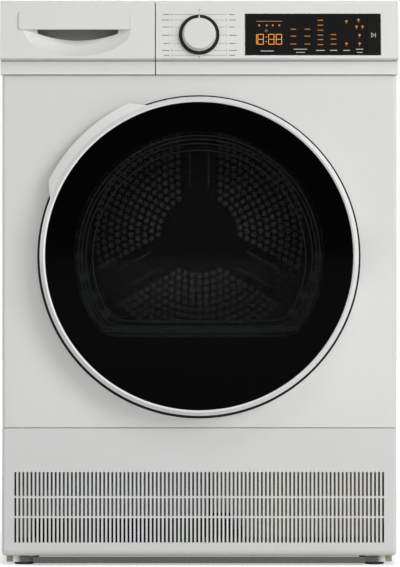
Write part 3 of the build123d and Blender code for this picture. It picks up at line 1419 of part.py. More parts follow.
lever_rear_y = cover_front_y - clearance
for pivot_x, hand in zip(lever_x, ("left", "right")):
    with BuildPart() as exchanger_lever:
        rod(pivot_x, lever_z, lever_rear_y - lever_thickness, lever_rear_y, lever_width / 2)
        block(pivot_x - lever_width / 2, pivot_x + lever_width / 2, lever_rear_y - lever_thickness,
              lever_rear_y, lever_z, lever_z + lever_length)
        fillet(exchanger_lever.edges().filter_by(Axis.Y).group_by(Axis.Z)[-1], lever_width / 4)
        rod(pivot_x, lever_z, lever_rear_y, tunnel_front_y - clearance, lever_pin_radius)
    exchanger_lever.part.label = f"exchanger_lever_{hand}"
    export_step(exchanger_lever.part, f"parts/exchanger_lever_{hand}.step")

# Condensate pump, hose to the tank tray, control module, gland and screws
pump_x = (pump_left + pump_right) / 2
with BuildPart() as condensate_pump:
    block(pump_left, pump_right, pump_front_y, pump_rear_y, pan_floor_top, pump_top - pump_cap)
    fillet(condensate_pump.edges().filter_by(Axis.Z), pump_corner_radius)
    post(pump_x, (pump_front_y + pump_rear_y) / 2, pump_top - pump_cap, pump_top, pump_motor_radius)
    post(pump_x, hose_y, pan_floor_top, pump_top, hose_radius)
condensate_pump.part.label = "condensate_pump"
export_step(condensate_pump.part, "parts/condensate_pump.step")

with BuildPart() as condensate_hose:
    with BuildLine() as hose_route:
        FilletPolyline((pump_x, hose_y, pump_top), (pump_x, hose_y, hose_low_z),
                       (hose_x, hose_y, hose_side_z), (hose_x, hose_y, hose_high_z),
                       (hose_outlet_x, hose_y, hose_top_z),
                       (hose_outlet_x, hose_y, nozzle_z), (hose_outlet_x, tray_rear_y, nozzle_z),
                       radius=hose_bend)
    with BuildSketch(Plane.XY.offset(pump_top)):
        with Locations((pump_x, hose_y)):
            Circle(hose_radius)
            Circle(hose_radius - tray_wall, mode=Mode.SUBTRACT)
    sweep(path=hose_route.line)
condensate_hose.part.label = "condensate_hose"
export_step(condensate_hose.part, "parts/condensate_hose.step")

with BuildPart() as control_module:
    block(module_left, module_right, module_front_y, module_rear_y, module_bottom, worktop_bottom)
    fillet(control_module.edges().filter_by(Axis.Z), pump_corner_radius)
    for rib in range(module_ribs):
        rib_x = module_left + (rib + 1) * (module_right - module_left) / (module_ribs + 1)
        block(rib_x - module_rib_gap / 2, rib_x + module_rib_gap / 2, module_front_y + pump_corner_radius,
              module_rear_y - pump_corner_radius, module_bottom - seam, module_bottom + module_rib_depth,
              Mode.SUBTRACT)
control_module.part.label = "control_module"
export_step(control_module.part, "parts/control_module.step")

with BuildPart() as mains_gland:
    rod(gland_x, gland_z, panel_rear_y, panel_rear_y + gland_flange, gland_radius)
    rod(gland_x, gland_z, panel_rear_y - gland_length, panel_rear_y, gland_radius - gland_lip - running_fit)
    rod(gland_x, gland_z, panel_rear_y - gland_length - seam, panel_rear_y + gland_flange + seam, gland_bore,
        Mode.SUBTRACT)
mains_gland.part.label = "mains_gland"
export_step(mains_gland.part, "parts/mains_gland.step")

with BuildPart() as rear_screws:
    for screw_side in (-1, 1):
        for screw_z in screw_heights:
            rod(screw_side * screw_x, screw_z, panel_rear_y, panel_rear_y + screw_head, screw_head_radius)
            rod(screw_side * screw_x, screw_z, panel_rear_y - screw_shank, panel_rear_y, screw_shank_radius)
rear_screws.part.label = "rear_screws"
export_step(rear_screws.part, "parts/rear_screws.step")
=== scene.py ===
import bpy
import bmesh
import math
from mathutils import Matrix, Vector


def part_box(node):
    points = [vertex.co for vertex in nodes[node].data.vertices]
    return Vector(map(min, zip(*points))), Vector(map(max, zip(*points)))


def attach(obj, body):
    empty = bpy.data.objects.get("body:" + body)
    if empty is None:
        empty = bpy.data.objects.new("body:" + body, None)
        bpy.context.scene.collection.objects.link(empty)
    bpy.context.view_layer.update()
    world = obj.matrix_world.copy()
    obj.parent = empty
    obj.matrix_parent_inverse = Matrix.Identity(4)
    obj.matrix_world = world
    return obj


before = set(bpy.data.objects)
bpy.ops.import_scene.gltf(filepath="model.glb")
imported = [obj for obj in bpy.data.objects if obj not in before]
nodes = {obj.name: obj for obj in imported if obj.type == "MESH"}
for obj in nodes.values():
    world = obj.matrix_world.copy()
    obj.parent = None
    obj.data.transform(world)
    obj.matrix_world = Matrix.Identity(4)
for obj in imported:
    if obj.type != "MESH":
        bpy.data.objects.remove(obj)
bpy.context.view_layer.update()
scene = bpy.context.scene

# Everything is in metres in the CAD frame: the front faces -Y and the floor is z = 0.
FRONT_SHEET_Y = -0.260
DOOR_CENTRE = Vector((0.0, -0.297, 0.465))
DRUM_CENTRE_Z = 0.508
FACE_FOOT = Vector((0.0, -0.277, 0.761))
FACE_LEAN = math.radians(6.0)
FACE_OUT = Vector((0.0, -math.cos(FACE_LEAN), math.sin(FACE_LEAN)))
FACE_UP = Vector((0.0, math.sin(FACE_LEAN), math.cos(FACE_LEAN)))
KNOB_UP_FACE = 0.0362


def put(name, data):
    """A new object in the scene."""
    made = bpy.data.objects.new(name, data)
    scene.collection.objects.link(made)
    return made


# Camera: square on to the front, level with the middle of the picture
CAMERA_DISTANCE = 3.5
PICTURE_HEIGHT = 0.8533
camera_data = bpy.data.cameras.new("camera")
camera_data.sensor_width = 36.0
camera_data.lens = 36.0 * CAMERA_DISTANCE / PICTURE_HEIGHT
camera = put("camera", camera_data)
camera.location = (0.0012, FRONT_SHEET_Y - CAMERA_DISTANCE, 0.4243)
camera.rotation_euler = (math.radians(90), 0, 0)
scene.camera = camera
scene.view_settings.view_transform = "Standard"


def soft_box(name, place, target, size, watts):
    """A soft rectangular studio lamp aimed at a point."""
    lamp = bpy.data.lights.new(name, "AREA")
    lamp.shape = "RECTANGLE"
    lamp.size, lamp.size_y = size
    lamp.energy = watts
    holder = put(name, lamp)
    holder.location = place
    holder.rotation_euler = (Vector(target) - Vector(place)).to_track_quat("-Z", "Y").to_euler()


soft_box("key_right", (3.3, -3.7, 2.3), (0, -0.2, 0.4), (2.4, 2.4), 111)
soft_box("top_front", (0.5, -2.4, 3.7), (0, -0.2, 0.3), (1.8, 1.0), 24)
soft_box("fill_low", (0.4, -4.0, 0.2), (0, -0.2, 0.1), (2.0, 0.6), 17)
soft_box("top_rear", (0.3, 1.9, 3.0), (0, 0.1, 0.5), (2.4, 1.6), 30)
soft_box("side_left", (-3.2, 1.5, 0.9), (-0.3, 0.0, 0.45), (1.6, 1.4), 34)
soft_box("drum_lamp", (0.0, -0.17, 0.50), (0.0, 0.22, 0.49), (0.30, 0.24), 0.15)


def fill(tree, socket, value):
    """Links an input socket to another node's output, or sets its own value."""
    if isinstance(value, bpy.types.NodeSocket):
        tree.links.new(value, socket)
    else:
        socket.default_value = value


def add_node(tree, kind, sockets=None, **settings):
    """A new node with its properties set and its input sockets linked or filled."""
    made = tree.nodes.new(kind)
    for key, value in settings.items():
        setattr(made, key, value)
    for key, value in (sockets or {}).items():
        fill(tree, made.inputs[key], value)
    return made


# World and floor: white to the camera, plain light for everything else
world = bpy.data.worlds.new("studio")
scene.world = world
world.use_nodes = True
studio = world.node_tree
studio.nodes.clear()
path = add_node(studio, "ShaderNodeLightPath").outputs
seen = add_node(studio, "ShaderNodeMath", {0: path["Is Camera Ray"], 1: path["Is Transmission Ray"]},
                operation="MAXIMUM")
shown = add_node(studio, "ShaderNodeMath", {0: seen.outputs[0], 1: path["Is Glossy Ray"]}, operation="MAXIMUM")
ambient = add_node(studio, "ShaderNodeBackground", {"Color": (0.98, 0.99, 1.0, 1), "Strength": 0.26})
white = add_node(studio, "ShaderNodeBackground", {"Color": (0.99, 0.99, 0.99, 1), "Strength": 1.0})
mixed = add_node(studio, "ShaderNodeMixShader", {0: shown.outputs[0], 1: ambient.outputs[0],
                                                2: white.outputs[0]})
add_node(studio, "ShaderNodeOutputWorld", {"Surface": mixed.outputs[0]})


def mesh_object(name, verts, faces, finish=None):
    """A plain mesh object from points and faces, with its normals pointing outwards."""
    mesh = bpy.data.meshes.new(name)
    mesh.from_pydata(verts, [], faces)
    shape = bmesh.new()
    shape.from_mesh(mesh)
    bmesh.ops.remove_doubles(shape, verts=shape.verts, dist=1e-7)
    bmesh.ops.recalc_face_normals(shape, faces=shape.faces)
    shape.to_mesh(mesh)
    shape.free()
    if finish is not None:
        mesh.materials.append(finish.material)
    return put(name, mesh)


floor = mesh_object("studio_floor", [(-9, -9, 0), (9, -9, 0), (9, 9, 0), (-9, 9, 0)], [(0, 1, 2, 3)])


def srgb(red, green, blue):
    """A colour as read from a picture, 0 to 255, in the renderer's linear values."""
    linear = []
    for level in (red / 255, green / 255, blue / 255):
        linear.append(level / 12.92 if level <= 0.04045 else ((level + 0.055) / 1.055) ** 2.4)
    return (*linear, 1.0)


def tinted(colour, factor):
    """The same colour, lighter or darker."""
    return (*(min(1.0, channel * factor) for channel in colour[:3]), 1.0)


class Finish:
    """A material on one Principled shader, with the node links that its surface detail needs."""

    def __init__(self, name, colour, rough, metal=0.0, coat=0.0, alpha=1.0, specular=0.5):
        self.material = bpy.data.materials.new(name)
        self.material.use_nodes = True
        self.tree = self.material.node_tree
        self.shader = self.tree.nodes["Principled BSDF"]
        self.colour = colour
        self.rough = rough
        self.relief = None
        levels = {"Base Color": colour, "Roughness": rough, "Metallic": metal, "Coat Weight": coat,
                  "Coat Roughness": 0.08, "Alpha": alpha, "Specular IOR Level": specular}
        for socket, value in levels.items():
            self.feed(socket, value)
        self.place = self.node("ShaderNodeTexCoord").outputs["Object"]

    def feed(self, socket, value):
        """Links or fills one of the shader's inputs."""
        fill(self.tree, self.shader.inputs[socket], value)
        return self

    def node(self, kind, sockets=None, **settings):
        return add_node(self.tree, kind, sockets, **settings)

    def axes(self):
        """The object coordinates as three separate values."""
        return tuple(self.node("ShaderNodeSeparateXYZ", {0: self.place}).outputs)

    def mapped(self, scale=(1, 1, 1), turn=(0, 0, 0)):
        """Object coordinates, scaled or turned before a texture reads them."""
        sockets = {"Vector": self.place, "Scale": scale, "Rotation": turn}
        return self.node("ShaderNodeMapping", sockets).outputs[0]

    def noise(self, scale, detail, stretch=None):
        sockets = {"Scale": scale, "Detail": detail, "Vector": self.mapped(stretch) if stretch else self.place}
        return self.node("ShaderNodeTexNoise", sockets).outputs["Fac"]

    def cells(self, scale):
        return self.node("ShaderNodeTexVoronoi", {"Scale": scale, "Vector": self.place}).outputs

    def sums(self, operation, *values):
        return self.node("ShaderNodeMath", dict(enumerate(values)), operation=operation).outputs[0]

    def below(self, value, limit):
        return self.sums("LESS_THAN", value, limit)

    def past(self, value, limit):
        return self.sums("GREATER_THAN", value, limit)

    def off(self, value, centre=0.0):
        """How far a value is from a centre, to either side."""
        return self.sums("ABSOLUTE", self.sums("SUBTRACT", value, centre))

    def every(self, mask, *others):
        """1 where all the masks are 1."""
        for other in others:
            mask = self.sums("MULTIPLY", mask, other)
        return mask

    def spread(self, source, low, high, from_low=0.3, from_high=0.7):
        """A texture value moved to another range."""
        return self.node("ShaderNodeMapRange", {"Value": source, "From Min": from_low, "From Max": from_high,
                                                "To Min": low, "To Max": high}).outputs["Result"]

    def between(self, source, at_zero, at_one):
        """A colour mixed between two by a value."""
        return self.node("ShaderNodeMix", {0: source, 6: at_zero, 7: at_one}, data_type="RGBA").outputs[2]

    def painted(self, colour):
        return self.feed("Base Color", colour)

    def mottled(self, scale, amount, stretch=None):
        """Slow colour variation over the surface."""
        drift = self.spread(self.noise(scale, 3.0, stretch), 0.0, 1.0)
        dark, pale = tinted(self.colour, 1 - amount), tinted(self.colour, 1 + amount)
        return self.painted(self.between(drift, dark, pale))

    def worn(self, scale, amount, stretch=None):
        """Roughness that wanders, as from handling and wiping."""
        low, high = max(0.01, self.rough - amount), min(1.0, self.rough + amount)
        return self.feed("Roughness", self.spread(self.noise(scale, 4.0, stretch), low, high))

    def raised(self, source, depth):
        """Relief from a texture value, in metres, on top of any relief already there."""
        sockets = {"Strength": 1.0, "Distance": depth, "Height": source}
        if self.relief is not None:
            sockets["Normal"] = self.relief
        self.relief = self.node("ShaderNodeBump", sockets).outputs["Normal"]
        return self.feed("Normal", self.relief)

    def grained(self, scale, depth, stretch=None):
        return self.raised(self.noise(scale, 2.0, stretch), depth)

    def on(self, *names):
        """Gives the finish to CAD nodes."""
        for name in names:
            mesh = nodes[name].data
            mesh.materials.clear()
            mesh.materials.append(self.material)
        return self

    def lit(self, colour, strength):
        return self.feed("Emission Color", colour).feed("Emission Strength", strength)


def plain(name, colour, rough, mottle, wear, grain, **more):
    """A finish with drifting colour, wandering roughness and fine grain, each given as scale and amount."""
    return Finish(name, colour, rough, **more).mottled(*mottle).worn(*wear).grained(*grain)


# White sheet, mouldings and worktop
MOULDING_WHITE = srgb(224, 225, 222)
plain("white_enamel", srgb(219, 220, 217), 0.34, (3.0, 0.012), (9.0, 0.05), (420, 0.00012), coat=0.15).on(
    "side_panel_left", "side_panel_right", "front_panel")
plain("moulded_white", MOULDING_WHITE, 0.42, (4.0, 0.012), (14.0, 0.06), (1900, 0.00006)).on(
    "drawer_handle_plate")
plain("worktop_laminate", srgb(222, 222, 219), 0.6, (5.0, 0.015), (60.0, 0.02), (2600, 0.00009),
      specular=0.2).on("worktop")
knob_white = plain("knob_white", srgb(221, 222, 219), 0.36, (20.0, 0.012), (60.0, 0.05), (1800, 0.00004),
                   coat=0.1).on("program_knob")

# Kick plate: white outside, with painted shade in grey on the inner faces that show in the depth of its slots
KICK_SKIN_Y = -0.2606
GRILLE_LOW_Z, GRILLE_HIGH_Z, GRILLE_HALF_WIDTH = 0.0310, 0.1450, 0.2850
KICK_WHITE, SLOT_SHADE_GREY = srgb(218, 219, 217), srgb(60, 60, 58)


def kick_finish():
    kick = Finish("kick_plate_white", KICK_WHITE, 0.44)
    x, y, z = kick.axes()
    slot_shade = kick.every(kick.past(y, KICK_SKIN_Y), kick.past(z, GRILLE_LOW_Z), kick.below(z, GRILLE_HIGH_Z),
                          kick.below(kick.off(x), GRILLE_HALF_WIDTH))
    # Painted shade: the inner faces behind the front skin, within the grille, are painted grey
    kick.painted(kick.between(slot_shade, KICK_WHITE, SLOT_SHADE_GREY))
    return kick.worn(12.0, 0.06).grained(1500, 0.00008)


# Door ring: gloss white, with a painted highlight on the bevel round the glass and painted light making the
# pull at the upper left paler
RING_BEVEL_RADIUS = 0.2324
PULL_FADE = (0.170, 0.220)
RING_WHITE, PULL_LIT_WHITE, BEVEL_HIGHLIGHT_WHITE = srgb(230, 231, 230), srgb(243, 243, 241), srgb(252, 252, 252)


def ring_finish():
    ring = Finish("door_ring_gloss", RING_WHITE, 0.2, coat=0.4)
    x, _, z = ring.axes()
    rise = ring.sums("SUBTRACT", z, DOOR_CENTRE.z)
    reach = ring.sums("SQRT", ring.sums("ADD", ring.sums("POWER", x, 2.0), ring.sums("POWER", rise, 2.0)))
    up_left = ring.sums("MULTIPLY", ring.sums("SUBTRACT", rise, x), math.sqrt(0.5))
    # Painted light: the pull is painted paler than the rest of the ring
    body = ring.between(ring.spread(up_left, 0.0, 1.0, *PULL_FADE), RING_WHITE, PULL_LIT_WHITE)
    # Painted highlight: the bevel round the glass is painted near white
    ring.painted(ring.between(ring.below(reach, RING_BEVEL_RADIUS), body, BEVEL_HIGHLIGHT_WHITE))
    return ring.worn(30.0, 0.05).grained(260, 0.00003)


# Fascia: painted shade in grey along the crease where the sloping face turns under, and in the drawer front's
# finger pocket
CREASE_Z, CREASE_REACH, CREASE_HALF_WIDTH = 0.7584, (0.0004, 0.0018), 0.2970
POCKET_FADE, POCKET_END = (0.0095, 0.0150), 0.0282
POCKET_X, POCKET_HALF_WIDTH, POCKET_LOW_Z, POCKET_HIGH_Z = -0.1825, 0.0640, 0.7800, 0.8300
CREASE_SHADE_GREY, POCKET_SHADE_GREY = srgb(166, 166, 163), srgb(138, 138, 135)


def fascia_finish(name, pocket):
    """White moulding with painted shade along the crease, and painted shade in the pocket where it has one."""
    white = Finish(name, MOULDING_WHITE, 0.42)
    x, y, z = white.axes()
    near_line = white.spread(white.off(z, CREASE_Z), 1.0, 0.0, *CREASE_REACH)
    on_front = white.below(white.off(x), CREASE_HALF_WIDTH)
    # Painted shade: grey along the crease under the sloping face
    colour = white.between(white.every(near_line, on_front), MOULDING_WHITE, CREASE_SHADE_GREY)
    if pocket:
        back = white.sums("MULTIPLY", white.sums("SUBTRACT", y, FACE_FOOT.y), math.cos(FACE_LEAN))
        lean = white.sums("MULTIPLY", white.sums("SUBTRACT", z, FACE_FOOT.z), math.sin(FACE_LEAN))
        deep = white.sums("SUBTRACT", back, lean)
        pocket_shade = white.every(white.spread(deep, 0.0, 1.0, *POCKET_FADE), white.below(deep, POCKET_END),
                                white.below(white.off(x, POCKET_X), POCKET_HALF_WIDTH),
                                white.below(z, POCKET_HIGH_Z), white.past(z, POCKET_LOW_Z))
        # Painted shade: grey deeper in the finger pocket
        colour = white.between(pocket_shade, colour, POCKET_SHADE_GREY)
    return white.painted(colour).worn(14.0, 0.06).grained(1900, 0.00006)


# Glass and black gloss
plain("display_black", srgb(25, 24, 23), 0.1, (8.0, 0.06), (24.0, 0.04), (300, 0.000015), specular=0.05).on(
    "display_glass")
plain("start_key_black", srgb(27, 26, 25), 0.14, (30.0, 0.06), (60.0, 0.05), (900, 0.00002), specular=0.06).on(
    "start_key")
plain("door_smoked_glass", srgb(3, 3, 3), 0.03, (2.5, 0.12), (7.0, 0.025), (40, 0.00001),
      alpha=0.66, specular=0.01).on("door_glass")
border_black = plain("glass_border_black", srgb(3, 3, 3), 0.06, (2.5, 0.1), (7.0, 0.025), (40, 0.00001),
                     specular=0.006)
plain("bowl_clear_glass", srgb(206, 216, 214), 0.12, (6.0, 0.05), (12.0, 0.03), (30, 0.00003),
      alpha=0.07, specular=0.3).on("door_bowl")

# Plastics and rubber
# The plinth grey is painted shade: the base plastic coloured as dark as it looks in shadow under the kick plate
PLINTH_SHADE_GREY, BODY_GREY = srgb(92, 90, 83), srgb(150, 153, 157)
plain("black_plastic", srgb(30, 30, 30), 0.48, (16.0, 0.1), (30.0, 0.08), (1500, 0.00008)).on(
    "cooling_fan", "process_fan", "fan_housing", "control_module", "mains_gland", "condensate_pump")
plain("knob_skirt_black", srgb(20, 20, 20), 0.36, (30.0, 0.08), (50.0, 0.06), (1500, 0.00004), specular=0.2).on(
    "knob_skirt")
plain("grey_plastic", srgb(150, 152, 152), 0.5, (10.0, 0.03), (20.0, 0.08), (1300, 0.00008)).on(
    "front_bulkhead", "drawer_tray", "door_catch", "door_hook")
dark_grey = plain("dark_grey_plastic", srgb(74, 77, 77), 0.5, (10.0, 0.05), (20.0, 0.08), (1300, 0.00008)).on(
    "door_frame")
plain("lifter_grey", srgb(120, 124, 124), 0.4, (10.0, 0.03), (20.0, 0.08), (1300, 0.00006)).on(
    "drum_lifters")
tank_plastic = plain("tank_plastic", srgb(196, 200, 198), 0.58, (8.0, 0.03), (14.0, 0.04), (900, 0.00006),
                     alpha=0.82, specular=0.15).on("water_tank")
plain("base_pan_plastic", PLINTH_SHADE_GREY, 0.56, (8.0, 0.04), (18.0, 0.08), (900, 0.00014)).on("base_pan")
beige_plastic = plain("beige_cover_plastic", srgb(176, 168, 146), 0.55, (9.0, 0.04), (20.0, 0.08),
                      (1100, 0.0001))
plain("lever_blue", srgb(58, 96, 140), 0.42, (30.0, 0.04), (50.0, 0.06), (1500, 0.00006)).on(
    "exchanger_lever_left", "exchanger_lever_right")
cover_grey = plain("exchanger_cover_grey", BODY_GREY, 0.45, (20.0, 0.03), (30.0, 0.1), (900, 0.00006))
mesh_pale = plain("filter_mesh_pale", srgb(206, 222, 215), 0.6, (60.0, 0.05), (40.0, 0.06), (900, 0.00006))
# Black rubber, also used as painted shade in the door gap, the rear slots and the screw recesses
rubber = plain("black_rubber_and_shade", srgb(24, 24, 24), 0.72, (20.0, 0.15), (40.0, 0.1), (1100, 0.00012),
               specular=0.3)
rubber.on("drive_belt", "condensate_hose", "drum_roller_left", "drum_roller_right", "idler_pulley")
plain("grey_seal_rubber", srgb(92, 95, 95), 0.66, (12.0, 0.06), (30.0, 0.1), (900, 0.0001), specular=0.3).on(
    "door_seal")
felt = Finish("pressed_felt", srgb(158, 152, 142), 0.95, specular=0.1).mottled(120.0, 0.16)
felt.grained(1400, 0.0006).feed("Sheen Weight", 0.4).on("drum_felt")
plain("circuit_board", srgb(30, 92, 52), 0.42, (120.0, 0.25), (80.0, 0.1), (700, 0.0001)).on(
    "display_board")

# Levelling feet: a pale moulded body on a thin black pad
FOOT_PALE, PAD_BLACK, PAD_Z = srgb(188, 186, 176), srgb(20, 20, 20), 0.0042
# Skirts in front of the feet: the plinth's grey as painted shade, paler towards the sides
CORNER_PALE, CORNER_FADE = srgb(226, 225, 218), (0.269, 0.277)


def foot_finish():
    foot = Finish("foot_body", FOOT_PALE, 0.6)
    _, _, z = foot.axes()
    foot.painted(foot.between(foot.below(z, PAD_Z), FOOT_PALE, PAD_BLACK))
    return foot.worn(30.0, 0.08).grained(1100, 0.00008)


def corner_finish():
    corner = Finish("base_corner_pale", CORNER_PALE, 0.6)
    x, _, _ = corner.axes()
    outwards = corner.spread(corner.off(x), 0.0, 1.0, *CORNER_FADE)
    return corner.painted(corner.between(outwards, PLINTH_SHADE_GREY, CORNER_PALE)).worn(18.0, 0.08)


# Metals
ALONG_Y = (1, 0.2, 1)
plain("motor_enamel", srgb(70, 72, 74), 0.5, (14.0, 0.05), (30.0, 0.08), (900, 0.00008)).on("motor")
plain("mill_aluminium", srgb(196, 198, 200), 0.36, (14.0, 0.05, (1, 0.15, 1)),
      (50.0, 0.1, (1, 0.1, 1)), (700, 0.00004, (1, 0.08, 1)), metal=1.0).on("heater")
plated_steel = plain("plated_steel", srgb(176, 178, 180), 0.32, (60.0, 0.06), (90.0, 0.1), (1200, 0.00003),
                     metal=1.0)
plated_steel.on("rear_bearing", "door_hinge_bracket", "door_hinge_leaf", "door_hinge_pin", "rear_screws",
                "motor_shaft")
dimple_steel = plain("dimple_stainless", srgb(166, 167, 168), 0.34, (40.0, 0.06), (18.0, 0.04),
                     (900, 0.00001), metal=1.0)
# Painted shade: the drum back's flat arms and hub are a darker copy of the dimpled stainless
plain("drum_back_shade_stainless", srgb(84, 85, 86), 0.5, (10.0, 0.05, ALONG_Y), (18.0, 0.04, ALONG_Y),
      (900, 0.00001, (1, 0.02, 1)), metal=1.0).on("drum_back")


def zinc_finish():
    """Zinc coat: flat spangles, each with its own tone and gloss."""
    zinc_coat = Finish("zinc_coated_steel", srgb(186, 189, 192), 0.42, metal=0.85)
    tone = zinc_coat.sums("FRACT", zinc_coat.sums("MULTIPLY", zinc_coat.cells(190.0)["Color"], 3.7))
    zinc_coat.painted(zinc_coat.between(tone, srgb(180, 183, 186), srgb(193, 196, 198)))
    zinc_coat.feed("Roughness", zinc_coat.spread(tone, 0.38, 0.47, 0.0, 1.0))
    return zinc_coat.grained(500, 0.00004)


def drum_finish():
    """Drum steel: rolled along its length, with a field of shallow round dimples."""
    drum = Finish("drum_shell_stainless", srgb(150, 151, 152), 0.4, metal=1.0).worn(18.0, 0.04, ALONG_Y)
    from_middle = drum.cells(60.0)["Distance"]
    drum.raised(drum.spread(from_middle, 1.0, 0.0, 0.1, 0.42), 0.0011)
    in_rim = drum.spread(from_middle, 0.0, 1.0, 0.16, 0.24)
    return drum.painted(drum.between(in_rim, srgb(90, 91, 92), srgb(152, 153, 154)))


# Lint filter: a grey front face, with a fine woven mesh on top
FILTER_FRONT_Y = -0.2536


def filter_finish():
    net = Finish("filter_mesh", srgb(70, 80, 76), 0.6)
    waves = [net.node("ShaderNodeTexWave", {"Scale": 70.0, "Vector": net.mapped(turn=(0, 0, turn))})
             for turn in (0.0, math.pi / 2)]
    weave = net.sums("MAXIMUM", *(wave.outputs["Fac"] for wave in waves))
    _, y, _ = net.axes()
    woven = net.between(weave, srgb(96, 112, 106), srgb(150, 166, 160))
    net.painted(net.between(net.below(y, FILTER_FRONT_Y), woven, srgb(84, 87, 87)))
    return net.raised(weave, 0.0004)


# Heat exchanger: a grey moulded cover on its front with a dark foot, bare fins behind it
EXCHANGER_COVER_Y, EXCHANGER_FOOT_Z = -0.2138, 0.071


def exchanger_finish():
    body = Finish("exchanger_finish", srgb(150, 156, 160), 0.5, specular=0.15)
    _, y, z = body.axes()
    in_fins = body.past(y, EXCHANGER_COVER_Y)
    cover = body.between(body.below(z, EXCHANGER_FOOT_Z), BODY_GREY, srgb(3, 3, 3))
    body.painted(body.between(in_fins, cover, srgb(196, 198, 200)))
    return body.feed("Metallic", in_fins).worn(30.0, 0.1).grained(900, 0.00006)


def floor_finish():
    """Studio floor: white to the camera, all the more further out, but it still takes the object's shadow."""
    pale = Finish("studio_floor", (0.86, 0.86, 0.86, 1.0), 0.8, specular=0.1).mottled(0.4, 0.01)
    away = pale.node("ShaderNodeVectorMath", {0: pale.place}, operation="LENGTH")
    glow = pale.spread(away.outputs["Value"], 0.46, 1.3, 1.0, 3.0)
    to_camera = pale.node("ShaderNodeLightPath").outputs["Is Camera Ray"]
    return pale.lit((1, 1, 1, 1), pale.sums("MULTIPLY", to_camera, glow))


floor.data.materials.append(floor_finish().material)
zinc = zinc_finish().on("rear_panel", "duct_cover", "cross_rail", "motor_bracket", "idler_arm")
corner_pale = corner_finish()
fascia_finish("control_panel_white", pocket=False).on("control_panel")
fascia_finish("drawer_front_white", pocket=True).on("drawer_front")
kick_finish().on("kick_plate")
ring_finish().on("door_ring")
filter_finish().on("lint_filter")
foot_finish().on("foot_front_left", "foot_front_right", "foot_rear_left", "foot_rear_right")
drum_finish().on("drum_shell")
exchanger_finish().on("heat_exchanger")


class NodeTree:
    """A Geometry Nodes tree with named inputs, built one node at a time."""

    def __init__(self, name, finish, **inputs):
        self.name = name
        self.group = bpy.data.node_groups.new(name, "GeometryNodeTree")
        self.group.interface.new_socket("Geometry", in_out="OUTPUT", socket_type="NodeSocketGeometry")
        self.identifiers = {}
        kinds = {int: "NodeSocketInt", float: "NodeSocketFloat", tuple: "NodeSocketVector"}
        self.values = {**inputs, "Finish": finish.material}
        for label, value in self.values.items():
            kind = kinds.get(type(value), "NodeSocketMaterial")
            socket = self.group.interface.new_socket(label, in_out="INPUT", socket_type=kind)
            self.identifiers[label] = socket.identifier
        self.source = self.group.nodes.new("NodeGroupInput")

    def __getitem__(self, label):
        return self.source.outputs[label]

    def node(self, kind, sockets=None, **settings):
        return add_node(self.group, kind, sockets, **settings)

    def sums(self, operation, *values):
        return self.node("ShaderNodeMath", dict(enumerate(values)), operation=operation).outputs[0]

    def grown(self, geometry):
        """Realizes what the tree makes as one plain mesh object with its material set."""
        solid = self.node("GeometryNodeRealizeInstances", {"Geometry": geometry})
        coloured = self.node("GeometryNodeSetMaterial", {"Geometry": solid.outputs[0],
                                                         "Material": self["Finish"]})
        self.node("NodeGroupOutput", {0: coloured.outputs[0]})
        host = put(self.name + "_host", bpy.data.meshes.new(self.name + "_host"))
        modifier = host.modifiers.new("tree", "NODES")
        modifier.node_group = self.group
        for label, value in self.values.items():
            modifier[self.identifiers[label]] = value
        bpy.context.view_layer.update()
        evaluated = host.evaluated_get(bpy.context.evaluated_depsgraph_get())
        mesh = bpy.data.meshes.new_from_object(evaluated)
        host.modifiers.clear()
        bpy.data.objects.remove(host)
        mesh.name = self.name
        return put(self.name, mesh)

    def row(self, shape):
        """A shape repeated, each one step on from the last."""
        line = self.node("GeometryNodeMeshLine", {"Count": self["Count"], "Offset": self["Step"]})
        rows = self.node("GeometryNodeInstanceOnPoints", {"Points": line.outputs[0], "Instance": shape})
        return self.grown(rows.outputs[0])


def shifted(x, y, z):
    return Matrix.Translation((x, y, z))


def drawing_matrix(place, across, up, out):
    """Places a flat drawing, made with x across, y up and its thickness along z."""
    return shifted(*place) @ Matrix((across, up, out)).transposed().to_4x4()


def face_matrix(height):
    """Places a flat drawing on the leaning fascia."""
    return drawing_matrix(FACE_FOOT + FACE_OUT * height, (1, 0, 0), FACE_UP, FACE_OUT)


def upright_matrix(x, y, z):
    """Places a flat drawing upright, facing the viewer."""
    return drawing_matrix((x, y, z), (1, 0, 0), (0, 0, 1), (0, -1, 0))


def seat(piece, body, slot, matrix):
    """Moves a piece's mesh into place and lets it ride on its body."""
    piece.data.transform(matrix)
    piece.data.update()
    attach(piece, body)


def bar_tree(name, finish, size, count, step):
    """A row of equal bars, each one step on from the last."""
    tree = NodeTree(name, finish, Size=size, Count=count, Step=step)
    bar = tree.node("GeometryNodeMeshCube", {"Size": tree["Size"]})
    return tree.row(bar.outputs[0])


